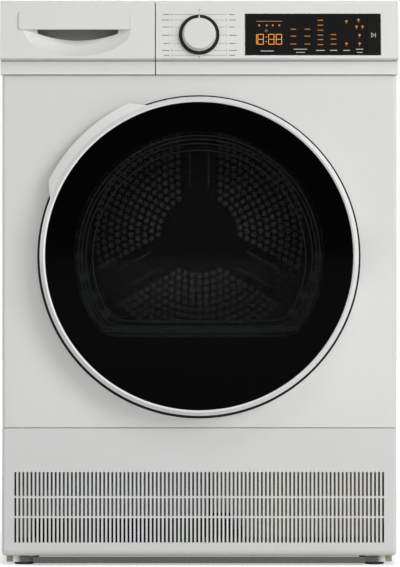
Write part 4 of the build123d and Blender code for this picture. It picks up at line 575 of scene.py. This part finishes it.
def dimple_tree(name, finish, pitch, circles, inner, arms, arm_half_width, base, top, height):
    """Shallow round dimples on circles of 6, 12, 18 and so on, left out on the arms and inside the hub."""
    tree = NodeTree(name, finish, Pitch=pitch, Circles=circles, Inner=inner, Arms=arms,
                    ArmHalfWidth=arm_half_width, Base=base, Top=top, Height=height)
    sums = tree.sums
    pairs = sums("MULTIPLY", tree["Circles"], sums("ADD", tree["Circles"], 1.0))
    points = tree.node("GeometryNodePoints", {"Count": sums("MULTIPLY", pairs, 3.0)})
    index = tree.node("GeometryNodeInputIndex").outputs[0]
    root = sums("SQRT", sums("ADD", sums("MULTIPLY", index, 12.0), 9.0))
    circle = sums("FLOOR", sums("DIVIDE", sums("ADD", root, 3.0), 6.0))
    before = sums("MULTIPLY", sums("MULTIPLY", circle, sums("SUBTRACT", circle, 1.0)), 3.0)
    stagger = sums("MULTIPLY", sums("MODULO", circle, 2.0), 0.5)
    step = sums("ADD", sums("SUBTRACT", index, before), stagger)
    angle = sums("DIVIDE", sums("MULTIPLY", step, math.pi / 3), circle)
    radius = sums("MULTIPLY", circle, tree["Pitch"])
    across = sums("MULTIPLY", radius, sums("COSINE", angle))
    up = sums("MULTIPLY", radius, sums("SINE", angle))
    place = tree.node("ShaderNodeCombineXYZ", {"X": across, "Y": up})
    placed = tree.node("GeometryNodeSetPosition", {"Geometry": points.outputs[0], "Position": place.outputs[0]})
    sector = sums("DIVIDE", 2 * math.pi, tree["Arms"])
    from_arm = sums("WRAP", sums("SUBTRACT", angle, math.pi / 2),
                    sums("MULTIPLY", sector, 0.5), sums("MULTIPLY", sector, -0.5))
    beside = sums("ABSOLUTE", sums("MULTIPLY", sums("SINE", from_arm), radius))
    drop = sums("MAXIMUM", sums("LESS_THAN", radius, tree["Inner"]),
                sums("LESS_THAN", beside, tree["ArmHalfWidth"]))
    kept = tree.node("GeometryNodeDeleteGeometry", {"Geometry": placed.outputs[0], "Selection": drop})
    cup = tree.node("GeometryNodeMeshCone", {"Vertices": 10, "Radius Bottom": tree["Base"],
                                             "Radius Top": tree["Top"], "Depth": tree["Height"]})
    field = tree.node("GeometryNodeInstanceOnPoints", {"Points": kept.outputs[0],
                                                       "Instance": cup.outputs["Mesh"]})
    return tree.grown(field.outputs[0])


def bead_tree(name, finish, radius, length, count, step):
    """A row of round beads that lie along x, each one step on from the last."""
    tree = NodeTree(name, finish, Radius=radius, Length=length, Count=count, Step=step)
    rod = tree.node("GeometryNodeMeshCylinder", {"Vertices": 14, "Radius": tree["Radius"],
                                                 "Depth": tree["Length"]})
    laid = tree.node("GeometryNodeTransform", {"Geometry": rod.outputs["Mesh"],
                                               "Rotation": (0.0, math.pi / 2, 0.0)})
    return tree.row(laid.outputs[0])


def ring_tree(name, finish, count, radius, size):
    """Equal bars set round a circle, each pointing outwards."""
    tree = NodeTree(name, finish, Count=count, Radius=radius, Size=size)
    circle = tree.node("GeometryNodeMeshCircle", {"Vertices": tree["Count"], "Radius": tree["Radius"]})
    bar = tree.node("GeometryNodeMeshCube", {"Size": tree["Size"]})
    place = tree.node("GeometryNodeInputPosition").outputs[0]
    turn = tree.node("FunctionNodeAlignEulerToVector", {"Vector": place}, axis="X")
    spokes = tree.node("GeometryNodeInstanceOnPoints", {
        "Points": circle.outputs[0], "Instance": bar.outputs[0], "Rotation": turn.outputs[0]})
    return tree.grown(spokes.outputs[0])


# Picture measure: metres per pixel, the column of the middle and the row of the floor
PIXEL, MIDDLE_COLUMN, FLOOR_ROW = 0.0015045, 199.2, 565.5


def px(x):
    """A picture column as metres across the front."""
    return (x - MIDDLE_COLUMN) * PIXEL


def pv(y):
    """A picture row as metres up the leaning fascia."""
    return ((FLOOR_ROW - y) * PIXEL - FACE_FOOT.z) / math.cos(FACE_LEAN)


def strokes(paths, width):
    """Thin straight strokes as four-cornered outlines, for leader lines and icons."""
    outlines = []
    for (x0, y0), (x1, y1) in paths:
        length = math.hypot(x1 - x0, y1 - y0)
        nx, ny = -(y1 - y0) / length * width / 2, (x1 - x0) / length * width / 2
        outlines.append([(x0 - nx, y0 - ny), (x1 - nx, y1 - ny), (x1 + nx, y1 + ny), (x0 + nx, y0 + ny)])
    return outlines


def prints(name, finish, outlines, thick=0.0001):
    """Flat outlines given a hair of thickness, as one piece."""
    verts, faces = [], []
    for outline in outlines:
        first, count = len(verts), len(outline)
        verts += [(x, y, 0.0) for x, y in outline] + [(x, y, thick) for x, y in outline]
        faces.append(tuple(first + i for i in reversed(range(count))))
        faces.append(tuple(first + count + i for i in range(count)))
        for i in range(count):
            j = (i + 1) % count
            faces.append((first + i, first + j, first + count + j, first + count + i))
    return mesh_object(name, verts, faces, finish)


def slabs(name, finish, boxes, thick=0.00012):
    """Thin rectangular prints (left, right, low, high), drawn flat, as one piece."""
    corners = [[(left, low), (right, low), (right, high), (left, high)] for left, right, low, high in boxes]
    return prints(name, finish, corners, thick)


def disc(x, y, radius, sides=20):
    return [(x + radius * math.cos(2 * math.pi * i / sides), y + radius * math.sin(2 * math.pi * i / sides))
            for i in range(sides)]


def figures(name, finish, words, size, thick=0.0001):
    """Short figures (text, x, y, how they line up) drawn flat and turned into one mesh."""
    made = bmesh.new()
    for text, x, y, align in words:
        curve = bpy.data.curves.new("figure", "FONT")
        curve.body = text
        curve.size = size
        curve.extrude = thick / 2
        curve.resolution_u = 3
        curve.align_x = align
        curve.align_y = "CENTER"
        holder = put("figure", curve)
        bpy.context.view_layer.update()
        flat = bpy.data.meshes.new_from_object(holder.evaluated_get(bpy.context.evaluated_depsgraph_get()))
        flat.transform(shifted(x, y, thick / 2))
        made.from_mesh(flat)
        bpy.data.objects.remove(holder)
        bpy.data.curves.remove(curve)
        bpy.data.meshes.remove(flat)
    mesh = bpy.data.meshes.new(name)
    made.to_mesh(mesh)
    made.free()
    mesh.materials.clear()
    mesh.materials.append(finish.material)
    return put(name, mesh)


print_grey = Finish("dial_print_grey", srgb(120, 121, 122), 0.5).mottled(300.0, 0.08).grained(2500, 0.00002)
print_white = Finish("display_print_white", srgb(206, 206, 204), 0.4).mottled(300.0, 0.05)
print_white.grained(2500, 0.00002)
lamp_orange = Finish("display_lamp_amber", srgb(214, 142, 58), 0.35).mottled(400.0, 0.08)
lamp_orange.lit(srgb(224, 140, 50), 0.5)
print_amber = Finish("display_print_amber", srgb(176, 116, 44), 0.4).mottled(300.0, 0.08)
print_amber.lit(srgb(190, 120, 40), 0.18)
trim_silver = Finish("display_trim", srgb(214, 215, 215), 0.26, metal=0.4).mottled(60.0, 0.04).worn(80.0, 0.06)

# Dial: fifteen numbered places, each joined to the knob by a thin leader, and an off mark on top
DIAL_ROWS, DIAL_MIDDLE_ROW = [15.2, 20.8, 27.9, 36.3, 44.5, 51.7, 56.6], 35.9
LEADER_START, LEADER_NEAREST, LEADER_END, LEADER_WIDTH = 0.0318, 0.0064, 0.0385, 0.00046
NUMBER_GAP, NUMBER_SIZE, LAST_NUMBER_ROW = 0.0012, 0.0044, 58.2
LABEL_GAP, LABEL_HALF = 0.0066, 0.0006
LABEL_LENGTHS = [0.0142, 0.0168, 0.0150, 0.0176, 0.0160, 0.0182, 0.0154]
OFF_HEIGHT, OFF_DOT_ROW, OFF_RADIUS, OFF_INNER = pv(10.6), 13.4, 0.0016, 0.0016 * 0.74
OFF_START, OFF_STEP, OFF_COUNT = math.radians(130), 0.3, 18
ON_FASCIA = ("cabinet", "white_plastic", face_matrix(0.00002))


def dial_prints():
    """Leaders, numbers and label bars of the dial, clockwise from the top right."""
    leaders, numbers, labels = [], [], []
    for side in (1, -1):
        for place, row in enumerate(DIAL_ROWS[::side]):
            rise = (DIAL_MIDDLE_ROW - row) * PIXEL
            start = math.sqrt(max(LEADER_START ** 2 - rise ** 2, LEADER_NEAREST ** 2))
            height = KNOB_UP_FACE + rise
            leaders.append(((side * start, height), (side * LEADER_END, height)))
            number = place + 1 if side == 1 else place + 9
            lined_up = "LEFT" if side == 1 else "RIGHT"
            numbers.append((str(number), side * (LEADER_END + NUMBER_GAP), height, lined_up))
            ends = sorted((side * (LEADER_END + LABEL_GAP), side * (LEADER_END + LABEL_LENGTHS[place])))
            labels.append((*ends, height - LABEL_HALF, height + LABEL_HALF))
    numbers.append(("8", 0.0, pv(LAST_NUMBER_ROW), "CENTER"))
    return leaders, numbers, labels


def arc_outlines(x, y, outer, inner, start, step, count):
    """A ring, or part of one, as four-cornered outlines."""
    outlines = []
    for first in (start + step * place for place in range(count)):
        corners = ((first, outer), (first + step, outer), (first + step, inner), (first, inner))
        outlines.append([(x + reach * math.cos(turn), y + reach * math.sin(turn)) for turn, reach in corners])
    return outlines


leader_lines, dial_figures, label_boxes = dial_prints()
seat(prints("dial_leaders", print_grey,
            strokes(leader_lines, LEADER_WIDTH) + [disc(0.0, pv(OFF_DOT_ROW), 0.0006)]), *ON_FASCIA)
seat(slabs("dial_labels", print_grey, label_boxes, 0.0001), *ON_FASCIA)
seat(figures("dial_numbers", print_grey, dial_figures, NUMBER_SIZE), *ON_FASCIA)
off_ring = arc_outlines(0.0, OFF_HEIGHT, OFF_RADIUS, OFF_INNER, OFF_START, OFF_STEP, OFF_COUNT)
off_stroke = strokes([((0.0, OFF_HEIGHT + 0.0004), (0.0, OFF_HEIGHT + 0.0020))], 0.0004)
seat(prints("dial_off_mark", print_grey, off_ring + off_stroke), *ON_FASCIA)

# Knob: a white pointer on its black skirt, a ring of grip bars and a silver collar round the cap's foot
SKIRT_TOP = 0.0030
POINTER_BOX = (-0.0011, 0.0011, KNOB_UP_FACE + 0.0254, KNOB_UP_FACE + 0.0292)
ON_KNOB = shifted(0, KNOB_UP_FACE, 0)
seat(slabs("knob_pointer", print_white, [POINTER_BOX], 0.0002), "knob", "white_plastic", face_matrix(SKIRT_TOP))
seat(ring_tree("knob_grip", knob_white, count=60, radius=0.0245, size=(0.0007, 0.0011, 0.0030)),
     "knob", "white_plastic", face_matrix(SKIRT_TOP + 0.0015) @ ON_KNOB)
seat(ring_tree("knob_collar", trim_silver, count=96, radius=0.0250, size=(0.0006, 0.0018, 0.0006)),
     "knob", "white_plastic", face_matrix(SKIRT_TOP + 0.0003) @ ON_KNOB)

# Display: amber figures, bars and icons and white legends on one black glass, in picture columns and rows
ON_GLASS = ("cabinet", "display_black", face_matrix(0.00032))
ON_KEY = ("start_button", "display_black", face_matrix(0.00062))
CLOCK_ROW, CLOCK_ONE, CLOCK_EIGHTS = 40.2, 254.6, (260.4, 271.0, 278.6)
COLON_COLUMN, COLON_ROWS, COLON_HALF = 265.8, (37.8, 42.6), 0.0007
FIGURE_HEIGHT, FIGURE_WIDTH, ONE_WIDTH, FIGURE_STROKE = 0.0160, 0.0092, 0.0060, 0.0010
CLOCK_RULE = (256.2, 281.8, 22.2, 21.9)
LAMP_ROW, LAMP_COLUMNS = 26.2, (259.0, 266.5, 272.5, 279.0)
TIMER_COLUMN, TIMER_ROW, TIMER_OUTER, TIMER_INNER, TIMER_STEPS = 266.0, 31.7, 0.0021, 0.0016, 16
BAR_ROWS = {293.0: (30, 37, 45), 307.0: (30, 37, 45), 320.0: (21, 26, 31, 36, 40.5, 45.5),
            333.0: (35.5, 40, 45)}
BAR_HALF, BAR_WIDTH = 0.0042, 0.0011
ICON_PLACES = ((346, 22), (346, 44.5), (358, 20.7), (356, 27.5), (362, 27.5), (359, 36), (359, 44.5))
LEGENDS = ((267, 52, 0.0100), (300, 50.2, 0.0100), (300, 53.4, 0.0066), (320, 51.4, 0.0066),
           (333, 51.4, 0.0054), (346, 51.4, 0.0050), (359, 50.2, 0.0056), (359, 53.4, 0.0042))
PLAY_COLUMN, PLAY_ROW = 372.9, 36.0
GLASS_EDGES, TRIM_WIDTH = (0.0686, 0.2724, 0.0051, 0.0686), 0.0008


def segment_boxes(x, y, width, lit):
    """A seven-segment figure: the boxes of its lit strokes, centred on a point."""
    left, right, low, high = x - width / 2, x + width / 2, y - FIGURE_HEIGHT / 2, y + FIGURE_HEIGHT / 2
    stroke, gap = FIGURE_STROKE, FIGURE_STROKE * 0.25
    shapes = {
        "a": (left + gap, right - gap, high - stroke, high),
        "d": (left + gap, right - gap, low, low + stroke),
        "g": (left + gap, right - gap, y - stroke / 2, y + stroke / 2),
        "f": (left, left + stroke, y + gap, high - gap),
        "b": (right - stroke, right, y + gap, high - gap),
        "e": (left, left + stroke, low + gap, y - gap),
        "c": (right - stroke, right, low + gap, y - gap),
    }
    return [shapes[key] for key in lit]


def clock_boxes():
    boxes = segment_boxes(px(CLOCK_ONE), pv(CLOCK_ROW), ONE_WIDTH, "bc")
    for column in CLOCK_EIGHTS:
        boxes += segment_boxes(px(column), pv(CLOCK_ROW), FIGURE_WIDTH, "abcdefg")
    x = px(COLON_COLUMN)
    for row in COLON_ROWS:
        boxes.append((x - COLON_HALF, x + COLON_HALF, pv(row) - COLON_HALF, pv(row) + COLON_HALF))
    left, right, low, high = CLOCK_RULE
    return boxes + [(px(left), px(right), pv(low), pv(high))]


def level_strokes(places, width):
    """Level strokes, given as column, row and half length."""
    ends = [((px(column) - half, pv(row)), (px(column) + half, pv(row))) for column, row, half in places]
    return strokes(ends, width)


def icon_outlines():
    """Small lamps, a timer, short bars, and diamonds with a dot below."""
    outlines = [disc(px(column), pv(LAMP_ROW), 0.0016, 6) for column in LAMP_COLUMNS]
    x, y = px(TIMER_COLUMN), pv(TIMER_ROW)
    outlines += arc_outlines(x, y, TIMER_OUTER, TIMER_INNER, 0.0, 2 * math.pi / TIMER_STEPS, TIMER_STEPS)
    outlines += strokes([((x, y), (x, y + 0.0013)), ((x, y), (x + 0.0010, y))], 0.0004)
    bars = [(column, row, BAR_HALF) for column, rows in BAR_ROWS.items() for row in rows]
    outlines += level_strokes(bars, BAR_WIDTH)
    for column, row in ICON_PLACES:
        outlines.append(disc(px(column), pv(row), 0.0023, 4))
        outlines.append(disc(px(column), pv(row) - 0.0034, 0.0006, 8))
    return outlines


def play_outlines():
    """An arrowhead and a bar, drawn with thin strokes."""
    x, y = px(PLAY_COLUMN), pv(PLAY_ROW)
    low, tip, high = (x - 0.0032, y - 0.0034), (x + 0.0014, y), (x - 0.0032, y + 0.0034)
    bar = ((x + 0.0030, y - 0.0036), (x + 0.0030, y + 0.0036))
    return strokes([(low, tip), (tip, high), (high, low), bar], 0.0007)


def frame_boxes(left, right, low, high, width):
    return [(left - width, right + width, low - width, low),
            (left - width, right + width, high, high + width),
            (left - width, left, low, high), (right, right + width, low, high)]


seat(slabs("display_clock", lamp_orange, clock_boxes()), *ON_GLASS)
seat(prints("display_icons", print_amber, icon_outlines()), *ON_GLASS)
seat(prints("display_legends", print_white, level_strokes(LEGENDS, 0.0010)), *ON_GLASS)
seat(prints("start_key_icon", print_white, play_outlines()), *ON_KEY)
seat(slabs("display_trim", trim_silver, frame_boxes(*GLASS_EDGES, TRIM_WIDTH), 0.0003),
     "cabinet", "white_plastic", face_matrix(0.0))

# Drum back: a field of pressed dimples between three smooth arms, with two raised beads along each arm
ON_DRUM_BACK = ("drum", "stainless", upright_matrix(0.0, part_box("drum_back")[0].y, DRUM_CENTRE_Z))
DRUM_ARMS = 3
BEAD_START, BEAD_END, BEAD_OFF_MIDDLE = 0.084, 0.150, 0.016


def arm_lines():
    """The middle line of each bead, from near the hub outwards."""
    found = []
    for arm in range(DRUM_ARMS):
        turn = math.pi / 2 + 2 * math.pi * arm / DRUM_ARMS
        out = Vector((math.cos(turn), math.sin(turn)))
        for hand in (-1, 1):
            shift = Vector((-out.y, out.x)) * hand * BEAD_OFF_MIDDLE
            found.append((tuple(out * BEAD_START + shift), tuple(out * BEAD_END + shift)))
    return found


seat(dimple_tree("drum_back_dimples", dimple_steel, pitch=0.0117, circles=15, inner=0.062,
                 arms=DRUM_ARMS, arm_half_width=0.034, base=0.0052, top=0.0042, height=0.0012),
     *ON_DRUM_BACK)
seat(prints("drum_arm_beads", dimple_steel, strokes(arm_lines(), 0.0022), 0.0014), *ON_DRUM_BACK)


def tube_faces(first, steps, sides):
    """Faces of a closed tube, from the point numbers of the cross-sections along it."""
    faces = []
    for step in range(steps):
        here, ahead = first + sides * step, first + sides * ((step + 1) % steps)
        for side in range(sides):
            after = (side + 1) % sides
            faces.append((here + side, here + after, ahead + after, ahead + side))
    return faces


def loop_band(name, finish, inner, outer, thickness):
    """A flat band between two closed outlines of as many points, with a rear face as well."""
    verts = []
    for near, far in zip(inner, outer):
        verts += [(*near, 0.0), (*far, 0.0), (*far, thickness), (*near, thickness)]
    return mesh_object(name, verts, tube_faces(0, len(inner), 4), finish)


def flat_foot_circle(radius, flat, steps=180, blend=0.008):
    """A circle with a rounded flat cut across its foot, as the bowl has."""
    points = []
    for step in range(steps):
        angle = 2 * math.pi * step / steps
        reach = radius
        if math.sin(angle) < -0.2:
            foot = -flat / math.sin(angle)
            reach = -blend * math.log(math.exp(-radius / blend) + math.exp(-foot / blend))
        points.append((reach * math.cos(angle), reach * math.sin(angle)))
    return points


def bead_loop(name, finish, loops, radius, sides=8):
    """Round beads along closed outlines (points, how far behind the drawing's plane), as one piece."""
    verts, faces = [], []
    for points, behind in loops:
        faces += tube_faces(len(verts), len(points), sides)
        for x, y in points:
            reach = math.hypot(x, y)
            for side in range(sides):
                turn = 2 * math.pi * side / sides
                grown = (reach + radius * math.cos(turn)) / reach
                verts.append((x * grown, y * grown, radius * math.sin(turn) - behind))
    return mesh_object(name, verts, faces, finish)


# Door: a printed black border on the glass, beads on the bowl that glow faintly as painted reflection, and a
# black ring in the gap behind the ring as painted shade
GLASS_FRONT_Y, GLASS_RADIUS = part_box("door_glass")[0].y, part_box("door_glass")[1].x
RING_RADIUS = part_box("door_ring")[1].x
BOWL_FRONT_Y, BOWL_REAR_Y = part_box("door_bowl")[0].y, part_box("door_bowl")[1].y
DOOR_Z = DOOR_CENTRE.z
NO_FLAT = 1e6
WINDOW_RADIUS, WINDOW_FLAT = 0.187, 0.121
GAP_SHADE_IN, GAP_SHADE_OUT, GAP_SHADE_X, GAP_SHADE_DROP = 0.004, 0.0052, -0.0004, 0.0006
seat(loop_band("door_glass_border", border_black, flat_foot_circle(WINDOW_RADIUS, WINDOW_FLAT),
               flat_foot_circle(GLASS_RADIUS - 0.0004, NO_FLAT), 0.0002),
     "door", "display_black", upright_matrix(0.0, GLASS_FRONT_Y, DOOR_Z))
# Painted shade: a thin black ring on the sheet behind the door ring, standing in for the shade in the gap
seat(loop_band("door_gap_shade_ring", rubber, flat_foot_circle(RING_RADIUS - GAP_SHADE_IN, NO_FLAT),
               flat_foot_circle(RING_RADIUS + GAP_SHADE_OUT, NO_FLAT), 0.0006),
     "cabinet", "rubber", upright_matrix(GAP_SHADE_X, FRONT_SHEET_Y, DOOR_Z - GAP_SHADE_DROP))
# Bowl beads, as radius, flat and depth at the rim and at the bowl's end, and how far each lies between them
BOWL_RIM, BOWL_END = (0.1815, 0.1145, 0.0055), (0.1470, 0.0852, BOWL_REAR_Y - BOWL_FRONT_Y - 0.0055)
BOWL_STEPS = (0.0, 0.14, 0.30, 0.56)
BEAD_GLOW_PALE = srgb(200, 206, 206)


def bowl_loops():
    loops = []
    for part_way in BOWL_STEPS:
        radius, flat, behind = (rim + part_way * (end - rim) for rim, end in zip(BOWL_RIM, BOWL_END))
        loops.append((flat_foot_circle(radius, flat), behind))
    return loops


# Painted reflection: the bowl's beads are pale and glow faintly, standing in for the light streaks along the
# bowl's wall
bowl_streak_glow = Finish("bowl_edge_glass", BEAD_GLOW_PALE, 0.08, alpha=0.5).mottled(12.0, 0.1).worn(20.0, 0.03)
seat(bead_loop("bowl_beads", bowl_streak_glow.lit(BEAD_GLOW_PALE, 0.22), bowl_loops(), 0.0007),
     "door", "bowl_clear_glass", upright_matrix(0.0, BOWL_FRONT_Y, DOOR_Z))

# Base: a beige screen with upright ribs in front of the fan bay, seen through the grille
SCREEN_Y = -0.206
screen_boxes = [(0.0660, 0.2760, 0.0160, 0.1560), (0.0180, 0.0660, 0.0740, 0.1560),
                (-0.2780, -0.2560, 0.0160, 0.1560)]
seat(slabs("fan_bay_screen", beige_plastic, screen_boxes, 0.0020),
     "cabinet", "base_plastic", upright_matrix(0.0, SCREEN_Y, 0.0))
seat(bar_tree("fan_bay_ribs", beige_plastic, size=(0.0024, 0.0050, 0.1360), count=8, step=(0.0280, 0.0, 0.0)),
     "cabinet", "base_plastic", shifted(0.0700, SCREEN_Y - 0.0040, 0.0860))


def corner_pair(name, finish, near, far, low, high, y, thick):
    """A slab at each front corner of the base, between two distances from the middle."""
    pair = slabs(name, finish, [(-far, -near, low, high), (near, far, low, high)], thick)
    seat(pair, "cabinet", "base_plastic", upright_matrix(0.0, y, 0.0))


# Base corners: thin skirts in front of the feet that carry the plinth outwards, and a stub beside each
corner_pair("base_corner_skirts", corner_pale, near=0.2480, far=0.2812, low=0.0042, high=0.0132, y=-0.2486,
            thick=0.0010)
corner_pair("base_corner_stubs", beige_plastic, near=0.2815, far=0.2915, low=0.0036, high=0.0150, y=-0.2380,
            thick=0.0030)

# Heat exchanger: upright moulded beads on its cover, between the two levers
COVER_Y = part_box("heat_exchanger")[0].y
UPRIGHT = Matrix.Rotation(math.pi / 2, 4, "Y")
seat(bead_tree("exchanger_cover_beads", cover_grey, radius=0.0020, length=0.0640, count=9,
               step=(0.0, 0.0, 0.0150)),
     "cabinet", "grey_plastic", shifted(-0.1785, COVER_Y, 0.1180) @ UPRIGHT)

# Water tank: long stiffening beads along its top
TANK_TOP_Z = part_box("water_tank")[1].z
ALONG = Matrix.Rotation(math.pi / 2, 4, "Z")
seat(bead_tree("tank_top_beads", tank_plastic, radius=0.0016, length=0.2800, count=7,
               step=(0.0, -0.0260, 0.0)),
     "drawer", "grey_plastic", shifted(-0.2550, -0.0800, TANK_TOP_Z) @ ALONG)

# Lint filter: two bands of punched mesh on its sloping top, between three dark rails
FILTER_LOW, FILTER_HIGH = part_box("lint_filter")
FILTER_RISE, FILTER_RUN = 0.0270, FILTER_HIGH.y - FILTER_LOW.y
MESH_STEP = 0.0050
SLOPE = (shifted(0.0, FILTER_LOW.y, FILTER_HIGH.z - FILTER_RISE)
         @ Matrix.Rotation(math.atan2(FILTER_RISE, FILTER_RUN), 4, "X"))
seat(bar_tree("filter_weft", mesh_pale, size=(0.2840, 0.0024, 0.0008), count=13, step=(0.0, MESH_STEP, 0.0)),
     "cabinet", "filter_plastic", SLOPE @ shifted(0.0, 0.0034, 0.0004))
seat(bar_tree("filter_warp", mesh_pale, size=(0.0024, 0.0630, 0.0008), count=57, step=(MESH_STEP, 0.0, 0.0)),
     "cabinet", "filter_plastic", SLOPE @ shifted(-0.1400, 0.0334, 0.0003))
seat(bar_tree("filter_rails", dark_grey, size=(0.2860, 0.0040, 0.0030), count=3, step=(0.0, 0.0306, 0.0)),
     "cabinet", "filter_plastic", SLOPE @ shifted(0.0, 0.0028, 0.0006))
seat(bead_tree("filter_grip_beads", dark_grey, radius=0.0009, length=0.0560, count=4,
               step=(0.0, 0.0, -0.0045)),
     "cabinet", "filter_plastic", shifted(0.0, FILTER_LOW.y, FILTER_HIGH.z - 0.0400))


def rear_matrix(x, y, z):
    """Places a flat drawing upright on the back, facing away from the front."""
    return drawing_matrix((x, y, z), (-1, 0, 0), (0, 0, 1), (0, 1, 0))


def crosses(points, reach):
    """Cross recesses as strokes, one at each point."""
    paths = []
    for x, y in points:
        paths += [((x - reach, y), (x + reach, y)), ((x, y - reach), (x, y + reach))]
    return strokes(paths, reach * 0.45)


# Back: pressed hoods over black bars painted as the shade in the slots, beads and screws on the duct cover, and
# cross recesses in the screws drawn black as painted shade
REAR_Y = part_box("rear_panel")[1].y
DUCT_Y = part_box("duct_cover")[1].y
SCREW_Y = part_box("rear_screws")[1].y
HOOD_COUNT, HOOD_STEP, HOOD_LENGTH, HOOD_X, HOOD_TOP_Z = 9, (0.0, 0.0, -0.0150), 0.0950, -0.1280, 0.2200
seat(bead_tree("rear_hoods", zinc, radius=0.0036, length=HOOD_LENGTH, count=HOOD_COUNT, step=HOOD_STEP),
     "cabinet", "galvanised", shifted(HOOD_X, REAR_Y - 0.0008, HOOD_TOP_Z))
# Painted shade: black bars under the hoods stand in for the shade in the slots
seat(bar_tree("rear_slot_shade", rubber, (HOOD_LENGTH - 0.006, 0.0004, 0.0030), count=HOOD_COUNT, step=HOOD_STEP),
     "cabinet", "galvanised", shifted(HOOD_X, REAR_Y + 0.0001, HOOD_TOP_Z - 0.0048))
DUCT_RADII, DUCT_BEAD_DEPTH = (0.080, 0.150, 0.205), 0.0016
duct_rings = [(flat_foot_circle(radius, NO_FLAT), DUCT_BEAD_DEPTH) for radius in DUCT_RADII]
seat(bead_loop("duct_cover_beads", zinc, duct_rings, 0.0030, sides=10),
     "cabinet", "galvanised", rear_matrix(0.0, DUCT_Y, DRUM_CENTRE_Z))
FLANGE_RADIUS, FLANGE_ANGLES = 0.2420, [math.radians(-15 + 35 * step) for step in range(7)]
flange_points = [(FLANGE_RADIUS * math.cos(turn), FLANGE_RADIUS * math.sin(turn)) for turn in FLANGE_ANGLES]
seat(prints("duct_flange_screws", plated_steel, [disc(x, y, 0.0046) for x, y in flange_points], 0.0022),
     "cabinet", "galvanised", rear_matrix(0.0, REAR_Y + 0.0008, DRUM_CENTRE_Z))
# Painted shade: black crosses stand in for the shade in the screws' recesses
seat(prints("duct_screw_recess_shade", rubber, crosses(flange_points, 0.0028)),
     "cabinet", "galvanised", rear_matrix(0.0, REAR_Y + 0.0030, DRUM_CENTRE_Z))
SCREW_X, SCREW_FIRST_Z, SCREW_LAST_Z, SCREW_ROWS = 0.2880, 0.1200, 0.7900, 4
edge_points = [(side * SCREW_X, SCREW_FIRST_Z + row * (SCREW_LAST_Z - SCREW_FIRST_Z) / (SCREW_ROWS - 1))
               for side in (-1, 1) for row in range(SCREW_ROWS)]
# Painted shade: black crosses stand in for the shade in the screws' recesses
seat(prints("rear_screw_recess_shade", rubber, crosses(edge_points, 0.0030)),
     "cabinet", "galvanised", rear_matrix(0.0, SCREW_Y, 0.0))
